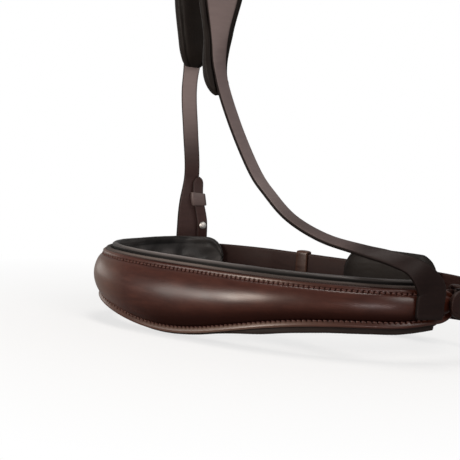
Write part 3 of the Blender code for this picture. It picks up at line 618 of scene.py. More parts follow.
def nose_leather_face():
    """Raised leather, drawn down at each stitch hole and swelling between the two rows."""
    along = nose_stations(ARM_LENGTH, 0.00045, ARM_TIP)[:, None]
    top, bottom = leather_heights(along)
    height = top - bottom
    upper = np.minimum(TOP_MARGIN, MARGIN_LIMIT * height)
    lower = np.minimum(BOTTOM_MARGIN, MARGIN_LIMIT * height)
    depth = np.hstack((upper * MARGIN_PARTS, upper + (height - upper - lower) * DOME_PARTS,
                       height - lower * MARGIN_PARTS[::-1]))
    from_bottom = height - depth
    domed = slice(len(MARGIN_PARTS), len(MARGIN_PARTS) + len(DOME_PARTS))
    dome = np.zeros_like(depth)
    dome[:, domed] = np.sin(math.pi * DOME_PARTS) ** DOME_POWER
    out = LEATHER_LOW + LEATHER_THICKNESS + leather_crown(along) * dome
    out += DOME_FOLD * soft_folds(along, depth, 0.045, 1) * dome
    out -= EDGE_DROP * (hill(depth, EDGE_REACH) + hill(from_bottom, EDGE_REACH))
    out += margin_lean(depth, from_bottom)

    # Painted shade low on the dome, in the seam under the top edge and in the stitch holes
    shade = np.zeros_like(depth)
    shade[:, domed] = NOSE_SHADE * smooth(*SHADED_DOME, DOME_PARTS)
    shade[:, domed.stop:] = NOSE_SHADE * smooth(*SHADED_MARGIN, MARGIN_PARTS[::-1])
    shade += NOSE_SHADE * (1.0 - smooth(*SHADED_TOP_EDGE, depth))
    reach = (at_loop(along, out, top - depth) - SHIFT) @ SHEEN_SIDE
    shade *= 1.0 - smooth(*UNSHADED, reach)
    stitches = stitch_places()
    run = along - stitches[np.argmin(np.abs(along - stitches), axis=1)][:, None]
    for rest in (depth - STITCH_FROM_TOP, from_bottom - STITCH_FROM_BOTTOM):
        across = run * math.cos(STITCH_SLANT) + rest * math.sin(STITCH_SLANT)
        down = rest * math.cos(STITCH_SLANT) - run * math.sin(STITCH_SLANT)
        hole = np.exp(-(across / HOLE_WIDTH) ** 4 - (down / HOLE_LENGTH) ** 4)
        pucker = hill(rest, PUCKER_WIDTH)
        out -= PUCKER_DEPTH * pucker + HOLE_DEPTH * hole
        shade += HOLE_SHADE * hole + PUCKER_SHADE * pucker
    shade *= np.clip((ARM_LENGTH - SHADE_STOPS_IN - np.abs(along)) / SHADE_FADE, 0.0, 1.0)

    # Painted reflection at the left end and painted highlights along the two margins
    bloom = END_SHEEN * smooth(*SHEEN_END, reach)
    bloom += (TOP_HIGHLIGHT * hill(reach - TOP_HIGHLIGHT_AT, TOP_HIGHLIGHT_REACH)
              * (1.0 - smooth(*TOP_HIGHLIGHT_BAND, depth)))
    bloom += (BOTTOM_HIGHLIGHT * hill(reach - BOTTOM_HIGHLIGHT_AT, BOTTOM_HIGHLIGHT_REACH)
              * (1.0 - smooth(*BOTTOM_HIGHLIGHT_BAND, from_bottom)))

    back = np.hstack((bottom, 0.5 * (top + bottom), top))
    unmarked = np.zeros_like(back)
    piece = loft("nose_leather_face",
                 at_loop(along, np.hstack((out, np.full_like(back, LEATHER_LOW))),
                         np.hstack((top - depth, back))), NOSE_LEATHER,
                 shade=np.hstack((np.clip(shade, 0.0, 1.0), unmarked)),
                 bloom=np.hstack((bloom, unmarked)))
    settle(piece, "noseband", "brown_leather", "nose_leather", "nose_filler", fill=0.8)


def tube(path, radii, sides):
    """Rings of a tube through a path, with a radius at each point."""
    path = np.asarray(path, dtype=float)
    radii = np.broadcast_to(radii, len(path))
    runs = rows_normal(np.gradient(path, axis=0))
    side = np.cross(runs[0], UP if abs(runs[0] @ UP) < 0.9 else np.array((1.0, 0.0, 0.0)))
    rings = []
    for place, run, radius in zip(path, runs, radii):
        side = rows_normal(side - run * (side @ run))
        turn = 2.0 * math.pi * (np.arange(sides) + 0.5) / sides
        rings.append(place + radius * (np.cos(turn)[:, None] * side
                                       + np.sin(turn)[:, None] * np.cross(run, side)))
    return np.asarray(rings)


def many_tubes(name, rings_list, material):
    """One piece made of many short tubes."""
    vertices, faces = [], []
    for rings in rings_list:
        start = len(vertices)
        vertices.extend(rings.reshape(-1, 3))
        faces.extend(tuple(i + start for i in face) for face in grid_faces(*rings.shape[:2]))
    return mesh_piece(name, vertices, faces, material)


THREAD_SUNK = 0.00085
THREAD_ARCH = 0.00070
THREAD_RADIUS = 0.00022
THREAD_SWELL = 0.00017


def nose_stitches(name, upper_row):
    """One row of saddle stitches: each thread slants from hole to hole along the furrow."""
    parts = np.linspace(0.0, 1.0, 6)
    arch = np.sin(math.pi * parts)
    threads = []
    for place in stitch_places():
        along = place + STITCH_PITCH * (0.13 + 0.74 * parts)
        top, bottom = leather_heights(along)
        slant = 0.0005 * (0.5 - parts)
        height = (top - STITCH_FROM_TOP if upper_row else bottom + STITCH_FROM_BOTTOM) + slant
        out = LEATHER_LOW + LEATHER_THICKNESS - THREAD_SUNK + THREAD_ARCH * arch ** 0.6
        out += margin_lean(top - height, height - bottom)
        radii = THREAD_RADIUS + THREAD_SWELL * arch ** 0.5
        threads.append(tube(at_loop(along, out, height), radii, 7))
    settle(many_tubes(name, threads, BROWN_THREAD), "noseband", "brown_leather")


RIM_LIGHT_LOSS = 0.75
RIM_LIGHT_FADES = (0.015, 0.080)
BINDING_SHORT = 0.016
BINDING_LOW = 0.0003
BINDING_EDGE = 0.0019
RIDGE_FROM = 0.80
RIDGE_REACH = 0.2
BINDING_CREASE = 0.00005
CREASES_ALONG = 2900.0
CREASE_DRIFT = 3.0
DRIFTS_ALONG = 210.0
BINDING_WAVE = 0.00010
BINDING_LIGHT_IN = 0.0006
BINDING_LIGHT_REACH = 0.0007


def rim_light(along):
    """How much of the rim's painted highlight is left: all at the nose, less along the arms."""
    return 1.0 - RIM_LIGHT_LOSS * smooth(*RIM_LIGHT_FADES, np.abs(along))


def nose_binding():
    """Binding rolled over the backing, with fine creases across its two rolls."""
    along = nose_stations(ARM_LENGTH - BINDING_SHORT, 0.0009)[:, None]
    bottom = -RIM_TO_LEATHER - leather_width(along) - hem(along)
    pairs = np.array([rounded_strip(BINDING_LOW, BACKING_FACE, -RIM_TO_BACKING, low,
                                    BINDING_EDGE, 6) for low in bottom[:, 0]])
    out, height = pairs[..., 0], pairs[..., 1]
    from_middle = height - 0.5 * (bottom - RIM_TO_BACKING)
    half = 0.5 * (-RIM_TO_BACKING - bottom)
    ridge = np.clip(np.abs(from_middle) / half - RIDGE_FROM, 0.0, RIDGE_REACH) / RIDGE_REACH
    creases = BINDING_CREASE * np.sin(along * CREASES_ALONG
                                      + CREASE_DRIFT * np.sin(along * DRIFTS_ALONG))
    waves = BINDING_WAVE * soft_folds(along, height, 0.020, 4)
    # Painted highlight along the binding's top edge
    bloom = (hill(-RIM_TO_BACKING - height - BINDING_LIGHT_IN, BINDING_LIGHT_REACH)
             * rim_light(along))
    height = height + np.sign(from_middle) * ridge * (creases + waves)
    piece = loft("nose_binding", at_loop(along, out, height), BINDING_LEATHER, bloom=bloom)
    settle(piece, "noseband", "dark_binding", "nose_backing")


LINING_ROLL = 0.0026
LINING_SHORT = 0.0006
ROLL_LIMIT = 0.22
ROLL_TURN = 205.0
PAD_FULLNESS = 0.75
LINING_FOLD = 0.00250
ARM_END_FOLD = 0.00055
ROLL_WAVE = 0.00012
ROLL_CREASE = 0.0007
ROLL_CREASE_SHADE = 0.6
SEAM_SHADE = 0.88
ROLL_SHEEN = 0.30
CREST_REACH = 0.0009
PAD_LIGHT = 0.14
FOLD_HIGHLIGHT = 0.50

# In radii of the roll, inward from its edge or down from its top
PAD_STARTS = 1.45
PAD_EDGE = 1.78
ROLL_CREASE_AT = 1.9
SEAM_DEPTHS = (0.45, 0.80)


def nose_lining_pad():
    """Padded lining: a rolled edge above and below, a crease, and the soft pad between."""
    along = nose_stations(ARM_LENGTH, 0.0010, ARM_TIP)[:, None]
    foot = -RIM_TO_LEATHER - leather_width(along) - hem(along) + LINING_SHORT
    top, bottom = arm_heights(along, 0.0, foot)
    height = top - bottom
    thick = LINING_THICKNESS * (0.35 + 0.65 * tip_share(ARM_LENGTH - np.abs(along), ARM_TIP))
    roll = np.minimum(LINING_ROLL, ROLL_LIMIT * height)
    upper = np.radians(np.linspace(0.0, ROLL_TURN, 15))
    lower = np.radians(np.linspace(360.0 - ROLL_TURN, 360.0, 15))
    between = np.linspace(0.0, 1.0, 27)[1:-1]
    fullness = (1.0 - (2.0 * between - 1.0) ** 2) ** PAD_FULLNESS
    edge = PAD_EDGE * roll
    out = np.hstack((-roll + roll * np.cos(upper), -(edge + (thick * 1.02 - edge) * fullness),
                     -roll + roll * np.cos(lower)))
    tall = np.hstack((top - roll + roll * np.sin(upper),
                      top - PAD_STARTS * roll - (height - 2.0 * PAD_STARTS * roll) * between,
                      bottom + roll + roll * np.sin(lower)))
    share = np.clip(-out / thick, 0.0, 1.0)
    near_end = np.clip((np.abs(along) - (ARM_LENGTH - 0.060)) / 0.050, 0.0, 1.0)
    folds = soft_folds(along, 1.6 * tall, 0.034, 2)
    out -= share * LINING_FOLD * folds
    out -= share * near_end * ARM_END_FOLD * soft_folds(along, 0.35 * tall, 0.012, 5)
    tall += (1.0 - share) * ROLL_WAVE * soft_folds(along, 0.0, 0.011, 3)

    # Painted shade in the creases beside the rolls and in the seam under the upper roll
    inward, depth = -out / roll, (top - tall) / roll
    crease = (hill(top - tall - ROLL_CREASE_AT * roll, ROLL_CREASE)
              + hill(tall - bottom - ROLL_CREASE_AT * roll, ROLL_CREASE))
    shade = np.clip(ROLL_CREASE_SHADE * crease * (inward > 0.5), 0.0, 1.0)
    above = tall > top - 3.0 * roll
    shade = np.maximum(shade, SEAM_SHADE * smooth(*SEAM_DEPTHS, depth) * above * (inward < 1.0))

    # Painted highlight along the upper roll's crest and outer side and on the raised folds, and
    # painted light over the whole inner side
    outer = ROLL_SHEEN * smooth(-1.2, -0.6, -inward) * above
    crest = hill(top - tall, CREST_REACH) * smooth(-1.4, -1.0, -inward)
    raised = (PAD_LIGHT + FOLD_HIGHLIGHT * smooth(0.0, 0.9, folds)) * smooth(1.3, 2.0, inward)
    bloom = np.maximum(np.maximum(outer, crest) * rim_light(along), raised)
    piece = loft("nose_lining_pad", at_loop(along, out, tall), LINING_LEATHER,
                 shade=shade, bloom=bloom)
    settle(piece, "noseband", "black_padding", "nose_lining", fill=0.6)


nose_leather_face()
nose_stitches("nose_stitches_upper", True)
nose_stitches("nose_stitches_lower", False)
nose_binding()
nose_lining_pad()


# Chin strap, its keeper and its pad

STRAP_WIDTH = 0.019
STRAP_THICKNESS = 0.0030
STRAP_LOW = 0.0003
STRAP_MIDDLE = STRAP_LOW + 0.5 * STRAP_THICKNESS
CLEAR = 0.0003
BUCKLE_CENTRE = ARM_LENGTH + 0.027
BUCKLE_REACH = 0.012
BUCKLE_OUT = 0.0064
BUCKLE_WIRE = 0.0016
HEEL_AT = BUCKLE_CENTRE - BUCKLE_REACH
ROLLER_AT = BUCKLE_CENTRE + BUCKLE_REACH
CHAPE_THICKNESS = 0.0020
CHAPE_FOLD = BUCKLE_WIRE + 2.0 * CLEAR + 0.5 * CHAPE_THICKNESS
STRAP_OVER = BUCKLE_OUT + CHAPE_FOLD + 0.5 * CHAPE_THICKNESS + CLEAR + 0.5 * STRAP_THICKNESS
FREE_END = ARM_LENGTH - 0.0105
SEWN_AT = LOOP_LENGTH - (ARM_LENGTH - 0.0155)
KEEPER_WALL = 0.0015
KEEPER_SWELL = 0.0003
STRAP_EDGE = 0.0009
STRAP_CREASE = 0.00022
STRAP_WAVE = 0.00018
STRAP_SLOT = (0.00775, 0.015, 0.0021)
STRAP_HOLE = (0.0020, 0.004)
HOLE_PITCH = 0.0125
SLEEVE_INSIDE = ((0.5, 0.15), (0.47, 0.0), (0.0, 0.0), (-0.47, 0.0), (-0.5, 0.15))


def strap_out(along):
    """How far out the strap's middle runs: over the buckle, then on the loop."""
    lift = 1.0 - smooth(HEEL_AT + 0.004, ROLLER_AT - 0.004, along)
    return STRAP_MIDDLE + (STRAP_OVER - STRAP_MIDDLE) * lift


def loop_axes(along):
    """Directions along the loop, out of it and up."""
    outward = loop_outward(along)
    return np.array((-outward[1], outward[0], 0.0)), outward, UP


def round_cutter(radius, half_depth, axes):
    """Rod through a strap, along the second of its axes."""
    work = bmesh.new()
    bmesh.ops.create_cone(work, segments=20, radius1=radius, radius2=radius,
                          depth=2.0 * half_depth, cap_ends=True)
    turn = Matrix([tuple(axes[k]) for k in (0, 2, 1)]).transposed().to_4x4()
    bmesh.ops.transform(work, matrix=turn, verts=work.verts)
    return work


def slot_cutter(half_length, half_depth, half_width, axes, sides=24):
    """Bar with round ends through a strap, along the second of its axes."""
    work = bmesh.new()
    rings = []
    for out in (-half_depth, half_depth):
        ring = []
        for step in range(sides):
            angle = 2.0 * math.pi * step / sides
            x = (half_width * math.cos(angle)
                 + math.copysign(half_length - half_width, math.cos(angle)))
            ring.append(work.verts.new(axes[0] * x + axes[1] * out
                                       + axes[2] * half_width * math.sin(angle)))
        rings.append(ring)
    for i in range(sides):
        j = (i + 1) % sides
        work.faces.new((rings[0][i], rings[0][j], rings[1][j], rings[1][i]))
    work.faces.new(rings[0][::-1])
    work.faces.new(rings[1])
    return work


def cut_away(piece, work, centre):
    """Takes a cutter's shape, moved to its centre, out of a strap."""
    bmesh.ops.recalc_face_normals(work, faces=work.faces)
    mesh = bpy.data.meshes.new("cutter")
    work.to_mesh(mesh)
    work.free()
    cutter = bpy.data.objects.new("cutter", mesh)
    cutter.location = tuple(float(v) for v in centre)
    bpy.context.collection.objects.link(cutter)
    change = piece.modifiers.new("cut", 'BOOLEAN')
    change.operation = 'DIFFERENCE'
    change.solver = 'EXACT'
    change.object = cutter
    bpy.context.view_layer.objects.active = piece
    bpy.ops.object.modifier_apply(modifier="cut")
    bpy.data.objects.remove(cutter)


def chin_strap_leather():
    """Chin strap: turned edges, a crease along each margin, its slot and its round holes."""
    along = np.concatenate((FREE_END + np.array((0.0, 0.0004, 0.001, 0.002, 0.0035, 0.0055, 0.008)),
                            np.arange(FREE_END + 0.0095, SEWN_AT, 0.0016), [SEWN_AT]))
    rings = []
    for s in along:
        half = 0.5 * STRAP_WIDTH * (0.30 + 0.70 * float(tip_share(s - FREE_END, 0.009)))
        middle = float(strap_out(s))
        rings.append(rounded_strip(middle - 0.5 * STRAP_THICKNESS, middle + 0.5 * STRAP_THICKNESS,
                                   -STRAP_DROP + half, -STRAP_DROP - half, STRAP_EDGE, 4,
                                   crease=STRAP_CREASE))
    rings, along = np.asarray(rings), along[:, None]
    wave = STRAP_WAVE * soft_folds(along, rings[..., 1], 0.055, 6)
    wave *= smooth(ROLLER_AT + 0.010, ROLLER_AT + 0.040, along)
    piece = loft("chin_strap_leather", at_loop(along, rings[..., 0] + wave, rings[..., 1]),
                 STRAP_LEATHER)
    slot_at = HEEL_AT + 0.00745
    cut_away(piece, slot_cutter(*STRAP_SLOT, loop_axes(slot_at)),
             at_loop(slot_at, strap_out(slot_at), -STRAP_DROP))
    for index in range(3):
        hole_at = ROLLER_AT + 0.006 + HOLE_PITCH * index
        cut_away(piece, round_cutter(*STRAP_HOLE, loop_axes(hole_at)),
                 at_loop(hole_at, STRAP_MIDDLE, -STRAP_DROP))
    settle(piece, "noseband", "dark_leather", "chin_strap")


def sleeve(name, along, width, high, material):
    """Leather keeper: one strip closed round the chin strap, its outside softly rounded."""
    along_axis, outward, up = loop_axes(along)
    centre = at_loop(along, 0.0, -STRAP_DROP)
    low, half = STRAP_LOW - CLEAR, 0.5 * STRAP_WIDTH + CLEAR
    profile = [*SLEEVE_INSIDE, (-0.5, 0.70), (-0.48, 0.90), (-0.43, 1.0)]
    profile += [(part, 1.0 + KEEPER_SWELL / KEEPER_WALL * (1.0 - (part / 0.43) ** 2)) for part in
                (-0.30, -0.15, 0.0, 0.15, 0.30)]
    profile += [(0.43, 1.0), (0.48, 0.90), (0.5, 0.70)]
    rings = []
    for place, grow in profile:
        thick = KEEPER_WALL * grow
        ring = rounded_strip(low - thick, high + thick, half + thick, -half - thick,
                             0.0005 + 0.8 * thick, 5)
        rings.append([centre + along_axis * width * place + outward * out + up * height
                      for out, height in ring])
    return loft(name, rings, material, joined=True)


def strap_sleeve(name, along, width, material, body, node_name, slot_name):
    """Keeper or loop round the chin strap alone."""
    piece = sleeve(name, along, width, STRAP_LOW + STRAP_THICKNESS + CLEAR, material)
    settle(piece, body, slot_name, node_name)


def rounded_stations(low, high, tip, steps, tip_steps, first_turn=4.0):
    """Stations along a pad, closer together towards its two rounded ends."""
    eased = tip * (1.0 - np.cos(np.radians(np.linspace(first_turn, 84.0, tip_steps))))
    return np.concatenate((low + eased, np.linspace(low + tip, high - tip, steps),
                           high - eased[::-1]))


CHIN_FROM = chin_side(0.0075)
CHIN_TO = CHIN_FROM - 0.080
CHIN_TIP = 0.015
CHIN_HALF_HEIGHT = 0.021
CHIN_THICKNESS = 0.011
CHIN_SEAM_IN = 0.0042
CHIN_BACKING_THICKNESS = 0.0022
CHIN_BACKING_SHORT = 0.004
CHIN_BACKING_TIP = 0.012
CHIN_BACKING_HALF_HEIGHT = 0.017
CHIN_LEATHER_OUT = -KEEPER_WALL - CLEAR
CHIN_PAD_OUT = CHIN_LEATHER_OUT - CHIN_BACKING_THICKNESS - CLEAR
PAD_SEAM = 0.0006
PAD_SIDE = 0.22
PAD_BELLY = 0.78
CHIN_SEAM_SUNK = 0.0009
CHIN_FOLD = 0.0004


def chin_cushion():
    """Soft chin pad: rolled rim, a seam just inside it and a full middle."""
    along = rounded_stations(CHIN_TO, CHIN_FROM, CHIN_TIP, 50, 14)[:, None]
    share = tip_share(np.minimum(along - CHIN_TO, CHIN_FROM - along), CHIN_TIP)
    half = CHIN_HALF_HEIGHT * share
    thick = CHIN_THICKNESS * (0.3 + 0.7 * share)
    across = np.sin(np.radians(np.linspace(90.0, -90.0, 41)))
    seam = hill(np.abs(across) * half - (half - CHIN_SEAM_IN), PAD_SEAM)
    bulge = np.clip(1.0 - np.abs(across) ** 5, 0.0, 1.0) ** 0.5
    tall = -STRAP_DROP + half * across
    out = CHIN_PAD_OUT - PAD_SIDE * thick - PAD_BELLY * thick * bulge
    out += CHIN_SEAM_SUNK * seam * bulge ** 0.2
    out -= CHIN_FOLD * soft_folds(along, tall, 0.028, 7) * bulge
    back = -STRAP_DROP + 0.93 * half * np.linspace(-1.0, 1.0, 9)
    # Painted shade in the sunk seam
    piece = loft("chin_cushion",
                 at_loop(along, np.hstack((out, np.full_like(back, CHIN_PAD_OUT))),
                         np.hstack((tall, back))), CUSHION_LEATHER,
                 shade=np.hstack((0.7 * seam, np.zeros_like(back))))
    settle(piece, "chin_pad", "black_padding", "chin_pad_cushion", fill=0.7)


def chin_pad_backing():
    """Firm leather behind the cushion, with rounded ends and edges."""
    low, high = CHIN_TO + CHIN_BACKING_SHORT, CHIN_FROM - CHIN_BACKING_SHORT
    along = rounded_stations(low, high, CHIN_BACKING_TIP, 30, 12)
    share = tip_share(np.minimum(along - low, high - along), CHIN_BACKING_TIP)
    rings = np.array([rounded_strip(CHIN_LEATHER_OUT - CHIN_BACKING_THICKNESS, CHIN_LEATHER_OUT,
                                    -STRAP_DROP + half, -STRAP_DROP - half, 0.0006)
                      for half in CHIN_BACKING_HALF_HEIGHT * share])
    piece = loft("chin_pad_backing", at_loop(along[:, None], rings[..., 0], rings[..., 1]),
                 STRAP_LEATHER)
    settle(piece, "chin_pad", "dark_leather", "chin_pad_leather")


chin_strap_leather()
strap_sleeve("sliding_keeper", chin_side(-0.035), 0.0095, KEEPER_LEATHER, "keeper",
             "chin_strap_keeper", "brown_leather")
strap_sleeve("chin_loop_left", chin_side(0.022), 0.010, STRAP_LEATHER, "chin_pad",
             "chin_pad_loop_left", "dark_leather")
strap_sleeve("chin_loop_right", chin_side(0.052), 0.010, STRAP_LEATHER, "chin_pad",
             "chin_pad_loop_right", "dark_leather")
chin_cushion()
chin_pad_backing()


# Hangers and crown, one strap from the left foot over the crown to the right foot

HANGER_AT = ARM_LENGTH - 0.0232
HANGER_WIDTH = 0.0115
HANGER_THICKNESS = 0.0025
HANGER_EDGE = 0.0009
HANGER_BELLY = 0.00035
HANGER_BASE_WIDTH = 0.0205
HANGER_BASE_DROP = 0.024
HANGER_UPRIGHT = 0.050
HANGER_LEAN = 0.001
LEFT_FLARE = 0.045
RIGHT_FLARE = 0.024
CROWN_WIDTH = 0.028
CROWN_ARCH_RADIUS = 0.0356
CROWN_PAD_THICKNESS = 0.0090
CROWN_PAD_OVERLAP = 0.0040
CROWN_PAD_TIP = 0.016
CROWN_SEAM_IN = 0.0034
CROWN_SEAM_SUNK = 0.0008
CROWN_FOLD = 0.00045
CROWN_RIM = 0.0016
CROWN_RIM_WIDTH = 0.0018
CROWN_EDGE_FALL = 0.0008
RIM_BELOW_CROWN = 0.275
CROWN_SPRING_HEIGHT = (RIM_BELOW_CROWN - CROWN_ARCH_RADIUS + 0.5 * HANGER_THICKNESS + CLEAR
                       + CROWN_PAD_THICKNESS)
CROWN_TURN = math.radians(-38.9)
LEFT_WIDENING = (0.118, 0.185)
RIGHT_WIDENING = (0.140, 0.195)
LEFT_PAD_FOOT = 0.128
RIGHT_PAD_FOOT = 0.111
LEFT_SHEEN_HEIGHTS = (-0.235, -0.168)
RIGHT_SHEEN = 0.52
RIGHT_SHEEN_FADES = (0.072, 0.094)
RIGHT_FOOT_SHADE = 0.7
HANGER_OUT = (LEATHER_LOW + LEATHER_THICKNESS + float(leather_crown(HANGER_AT)) + CLEAR
              + 0.5 * HANGER_THICKNESS)
LEFT_SWING = (0.0012, 0.0012, 0.0017, 0.0036, 0.0028)
LEFT_UPRIGHT_PARTS = (0.08, 0.5, 1.0)
LEFT_RISE = (0.56, 0.72, 0.88)
RIGHT_FALL = (0.88, 0.72, 0.60)
RIGHT_LEAVES_CROWN = 0.496
RIGHT_LEAVES_FACING = np.array((0.96, -0.15, 0.20))
RIGHT_FOOT_PARTS = (0.17, 0.54, 1.0)
RIGHT_SWING = np.array((0.0016, 0.0012, 0.0))
RIGHT_HANGER_ROUTE = (
    ((-0.317, -0.235, 0.332), (0.93, -0.16, 0.31)),
    ((-0.152, -0.270, 0.216), (0.90, -0.18, 0.40)),
    ((-0.020, -0.325, 0.162), (0.82, -0.21, 0.52)),
    ((0.172, -0.441, 0.111), (0.73, -0.26, 0.63)),
    ((0.426, -0.566, 0.077), (0.58, -0.34, 0.74)),
    ((0.685, -0.655, 0.063), (0.52, -0.42, 0.74)),
    ((0.850, -0.637, 0.052), (0.62, -0.50, 0.60)),
    ((0.965, -0.540, 0.031), (0.80, -0.55, 0.24)),
)
LEFT_HANGER_ROUTE = (
    ((-0.929, 0.515, 0.291), (-0.75, 0.66, 0.00)),
    ((-0.893, 0.370, 0.400), (-0.77, 0.63, 0.00)),
)


def headpiece_knots():
    """Places and outward normals from the left foot, over the crown, to the right foot."""
    knots = []
    left_out = loop_outward(-HANGER_AT)
    heights = [-HANGER_BASE_DROP, -0.4 * HANGER_BASE_DROP]
    heights += [HANGER_UPRIGHT * part for part in LEFT_UPRIGHT_PARTS]
    forward = np.cross(UP, left_out)
    for height, swing in zip(heights, LEFT_SWING):
        lean = HANGER_LEAN * max(height / HANGER_UPRIGHT, 0.0) ** 1.3
        knots.append((loop_point(-HANGER_AT) + left_out * (HANGER_OUT - lean) + UP * height
                      + forward * swing, left_out))
    sizes = np.array((HALF_LENGTH, HALF_DEPTH, RIM_BELOW_CROWN))
    knots += [(np.array(shares) * sizes, np.array(normal)) for shares, normal in LEFT_HANGER_ROUTE]
    across = np.array((math.cos(CROWN_TURN), math.sin(CROWN_TURN), 0.0))
    middle = -SHIFT * np.array((1.0, 1.0, 0.0))
    left, right = middle - across * CROWN_ARCH_RADIUS, middle + across * CROWN_ARCH_RADIUS
    knots += [(left + UP * CROWN_SPRING_HEIGHT * part, -across) for part in LEFT_RISE]
    for step in range(9):
        turn = math.pi * (1.0 - step / 8.0)
        radial = across * math.cos(turn) + UP * math.sin(turn)
        knots.append((middle + UP * CROWN_SPRING_HEIGHT + radial * CROWN_ARCH_RADIUS, radial))
    knots += [(right + UP * CROWN_SPRING_HEIGHT * part, across) for part in RIGHT_FALL]
    knots.append((right + UP * CROWN_SPRING_HEIGHT * RIGHT_LEAVES_CROWN + RIGHT_SWING,
                  RIGHT_LEAVES_FACING))
    knots += [(np.array(shares) * sizes, np.array(normal)) for shares, normal in RIGHT_HANGER_ROUTE]
    right_out = loop_outward(HANGER_AT)
    knots += [(loop_point(HANGER_AT) + right_out * HANGER_OUT - UP * HANGER_BASE_DROP * part,
               right_out) for part in RIGHT_FOOT_PARTS]
    return knots


class Headpiece:
    """Fine stations along the headpiece: places, run, normal and side, by distance."""

    def __init__(self, fine=8):
        knots = headpiece_knots()
        last = len(knots) - 1
        places, normals = [], []
        for index in range(last):
            p0, p1, p2, p3 = (knots[min(max(index + k, 0), last)][0] for k in (-1, 0, 1, 2))
            for step in range(fine):
                t = step / fine
                places.append(0.5 * (2.0 * p1 + (p2 - p0) * t
                                     + (2.0 * p0 - 5.0 * p1 + 4.0 * p2 - p3) * t * t
                                     + (3.0 * p1 - p0 - 3.0 * p2 + p3) * t ** 3))
                normals.append(knots[index][1] * (1.0 - t) + knots[index + 1][1] * t)
        places.append(knots[-1][0])
        normals.append(knots[-1][1])
        self.places, normals = np.array(places), rows_normal(np.array(normals))
        padded_places = np.concatenate((self.places[:1], self.places, self.places[-1:]))
        self.runs = rows_normal(padded_places[2:] - padded_places[:-2])
        along_run = np.sum(self.runs * normals, axis=1)[:, None]
        self.normals = rows_normal(normals - self.runs * along_run)
        steps = np.linalg.norm(np.diff(self.places, axis=0), axis=1)
        self.far = np.concatenate(([0.0], np.cumsum(steps)))
        self.length = float(self.far[-1])
        self.top_at = float(self.far[int(np.argmax(self.places[:, 2]))])

    def at(self, far):
        """Place, run, normal and side at each distance."""
        far = np.atleast_1d(far)
        rows = [np.stack([np.interp(far, self.far, table[:, k]) for k in range(3)], -1)
                for table in (self.places, self.runs, self.normals)]
        place, run, normal = rows[0], rows_normal(rows[1]), rows_normal(rows[2])
        return place, run, normal, np.cross(run, normal)

    def width(self, far):
        """Width there: slim hangers, wider at their feet and over the crown."""
        place = self.at(far)[0]
        left = np.atleast_1d(far) <= self.top_at
        low = np.where(left, LEFT_WIDENING[0], RIGHT_WIDENING[0])
        high = np.where(left, LEFT_WIDENING[1], RIGHT_WIDENING[1])
        flare = np.where(left, LEFT_FLARE, RIGHT_FLARE)
        from_end = np.where(left, far, self.length - far)
        base = 1.0 - smooth(0.83 * HANGER_BASE_DROP, HANGER_BASE_DROP + flare, from_end)
        return (HANGER_WIDTH + (CROWN_WIDTH - HANGER_WIDTH) * smooth(low, high, place[:, 2])
                + (HANGER_BASE_WIDTH - HANGER_WIDTH) * base)


HEADPIECE = Headpiece()


def strap_rings(far, out, across):
    """Rings round the headpiece: out along its normal and across it, at each distance."""
    place, _, normal, side = HEADPIECE.at(far)
    return (place[:, None] + normal[:, None] * out[..., None]
            + side[:, None] * across[..., None] + SHIFT)


def headpiece_leather():
    """Hanger and crown strap, its edges rounded and darkened by edge dye and painted shade, and its
    outer face a little full.
    """
    far = np.linspace(0.0, HEADPIECE.length, 380)
    place = HEADPIECE.at(far)[0]
    half_thick = 0.5 * HANGER_THICKNESS
    ends = tip_share(np.minimum(far, HEADPIECE.length - far) + 0.0006, 0.0035)
    half = 0.5 * HEADPIECE.width(far) * (0.72 + 0.28 * ends)
    pairs = np.array([rounded_strip(-half_thick, half_thick, wide, -wide, HANGER_EDGE, 4)
                      for wide in half])
    out, across, half = pairs[..., 0], pairs[..., 1], half[:, None]
    out = out + np.where(out > 0.0, HANGER_BELLY, 0.0) * (1.0 - (across / half) ** 2)

    # Painted sheen up both hangers, and painted shade where the right one nears the arm
    on_right = far > HEADPIECE.top_at
    to_right = place[:, 0]
    faded = smooth(*RIGHT_SHEEN_FADES, to_right)
    right_bloom = RIGHT_SHEEN * (1.0 - 0.78 * smooth(-0.012, 0.036, to_right)) * (1.0 - faded)
    left_bloom = smooth(*LEFT_SHEEN_HEIGHTS, place[:, 2] + SHIFT[2])
    bloom = np.where(on_right, right_bloom, left_bloom)[:, None] * np.ones_like(across)
    shade = np.maximum(edge_shade(across, half), (RIGHT_FOOT_SHADE * faded * on_right)[:, None])
    piece = loft("headpiece_leather", strap_rings(far, out, across), HANGER_LEATHER,
                 shade=shade, bloom=bloom)
    settle(piece, "noseband", "dark_leather", "headpiece_strap")


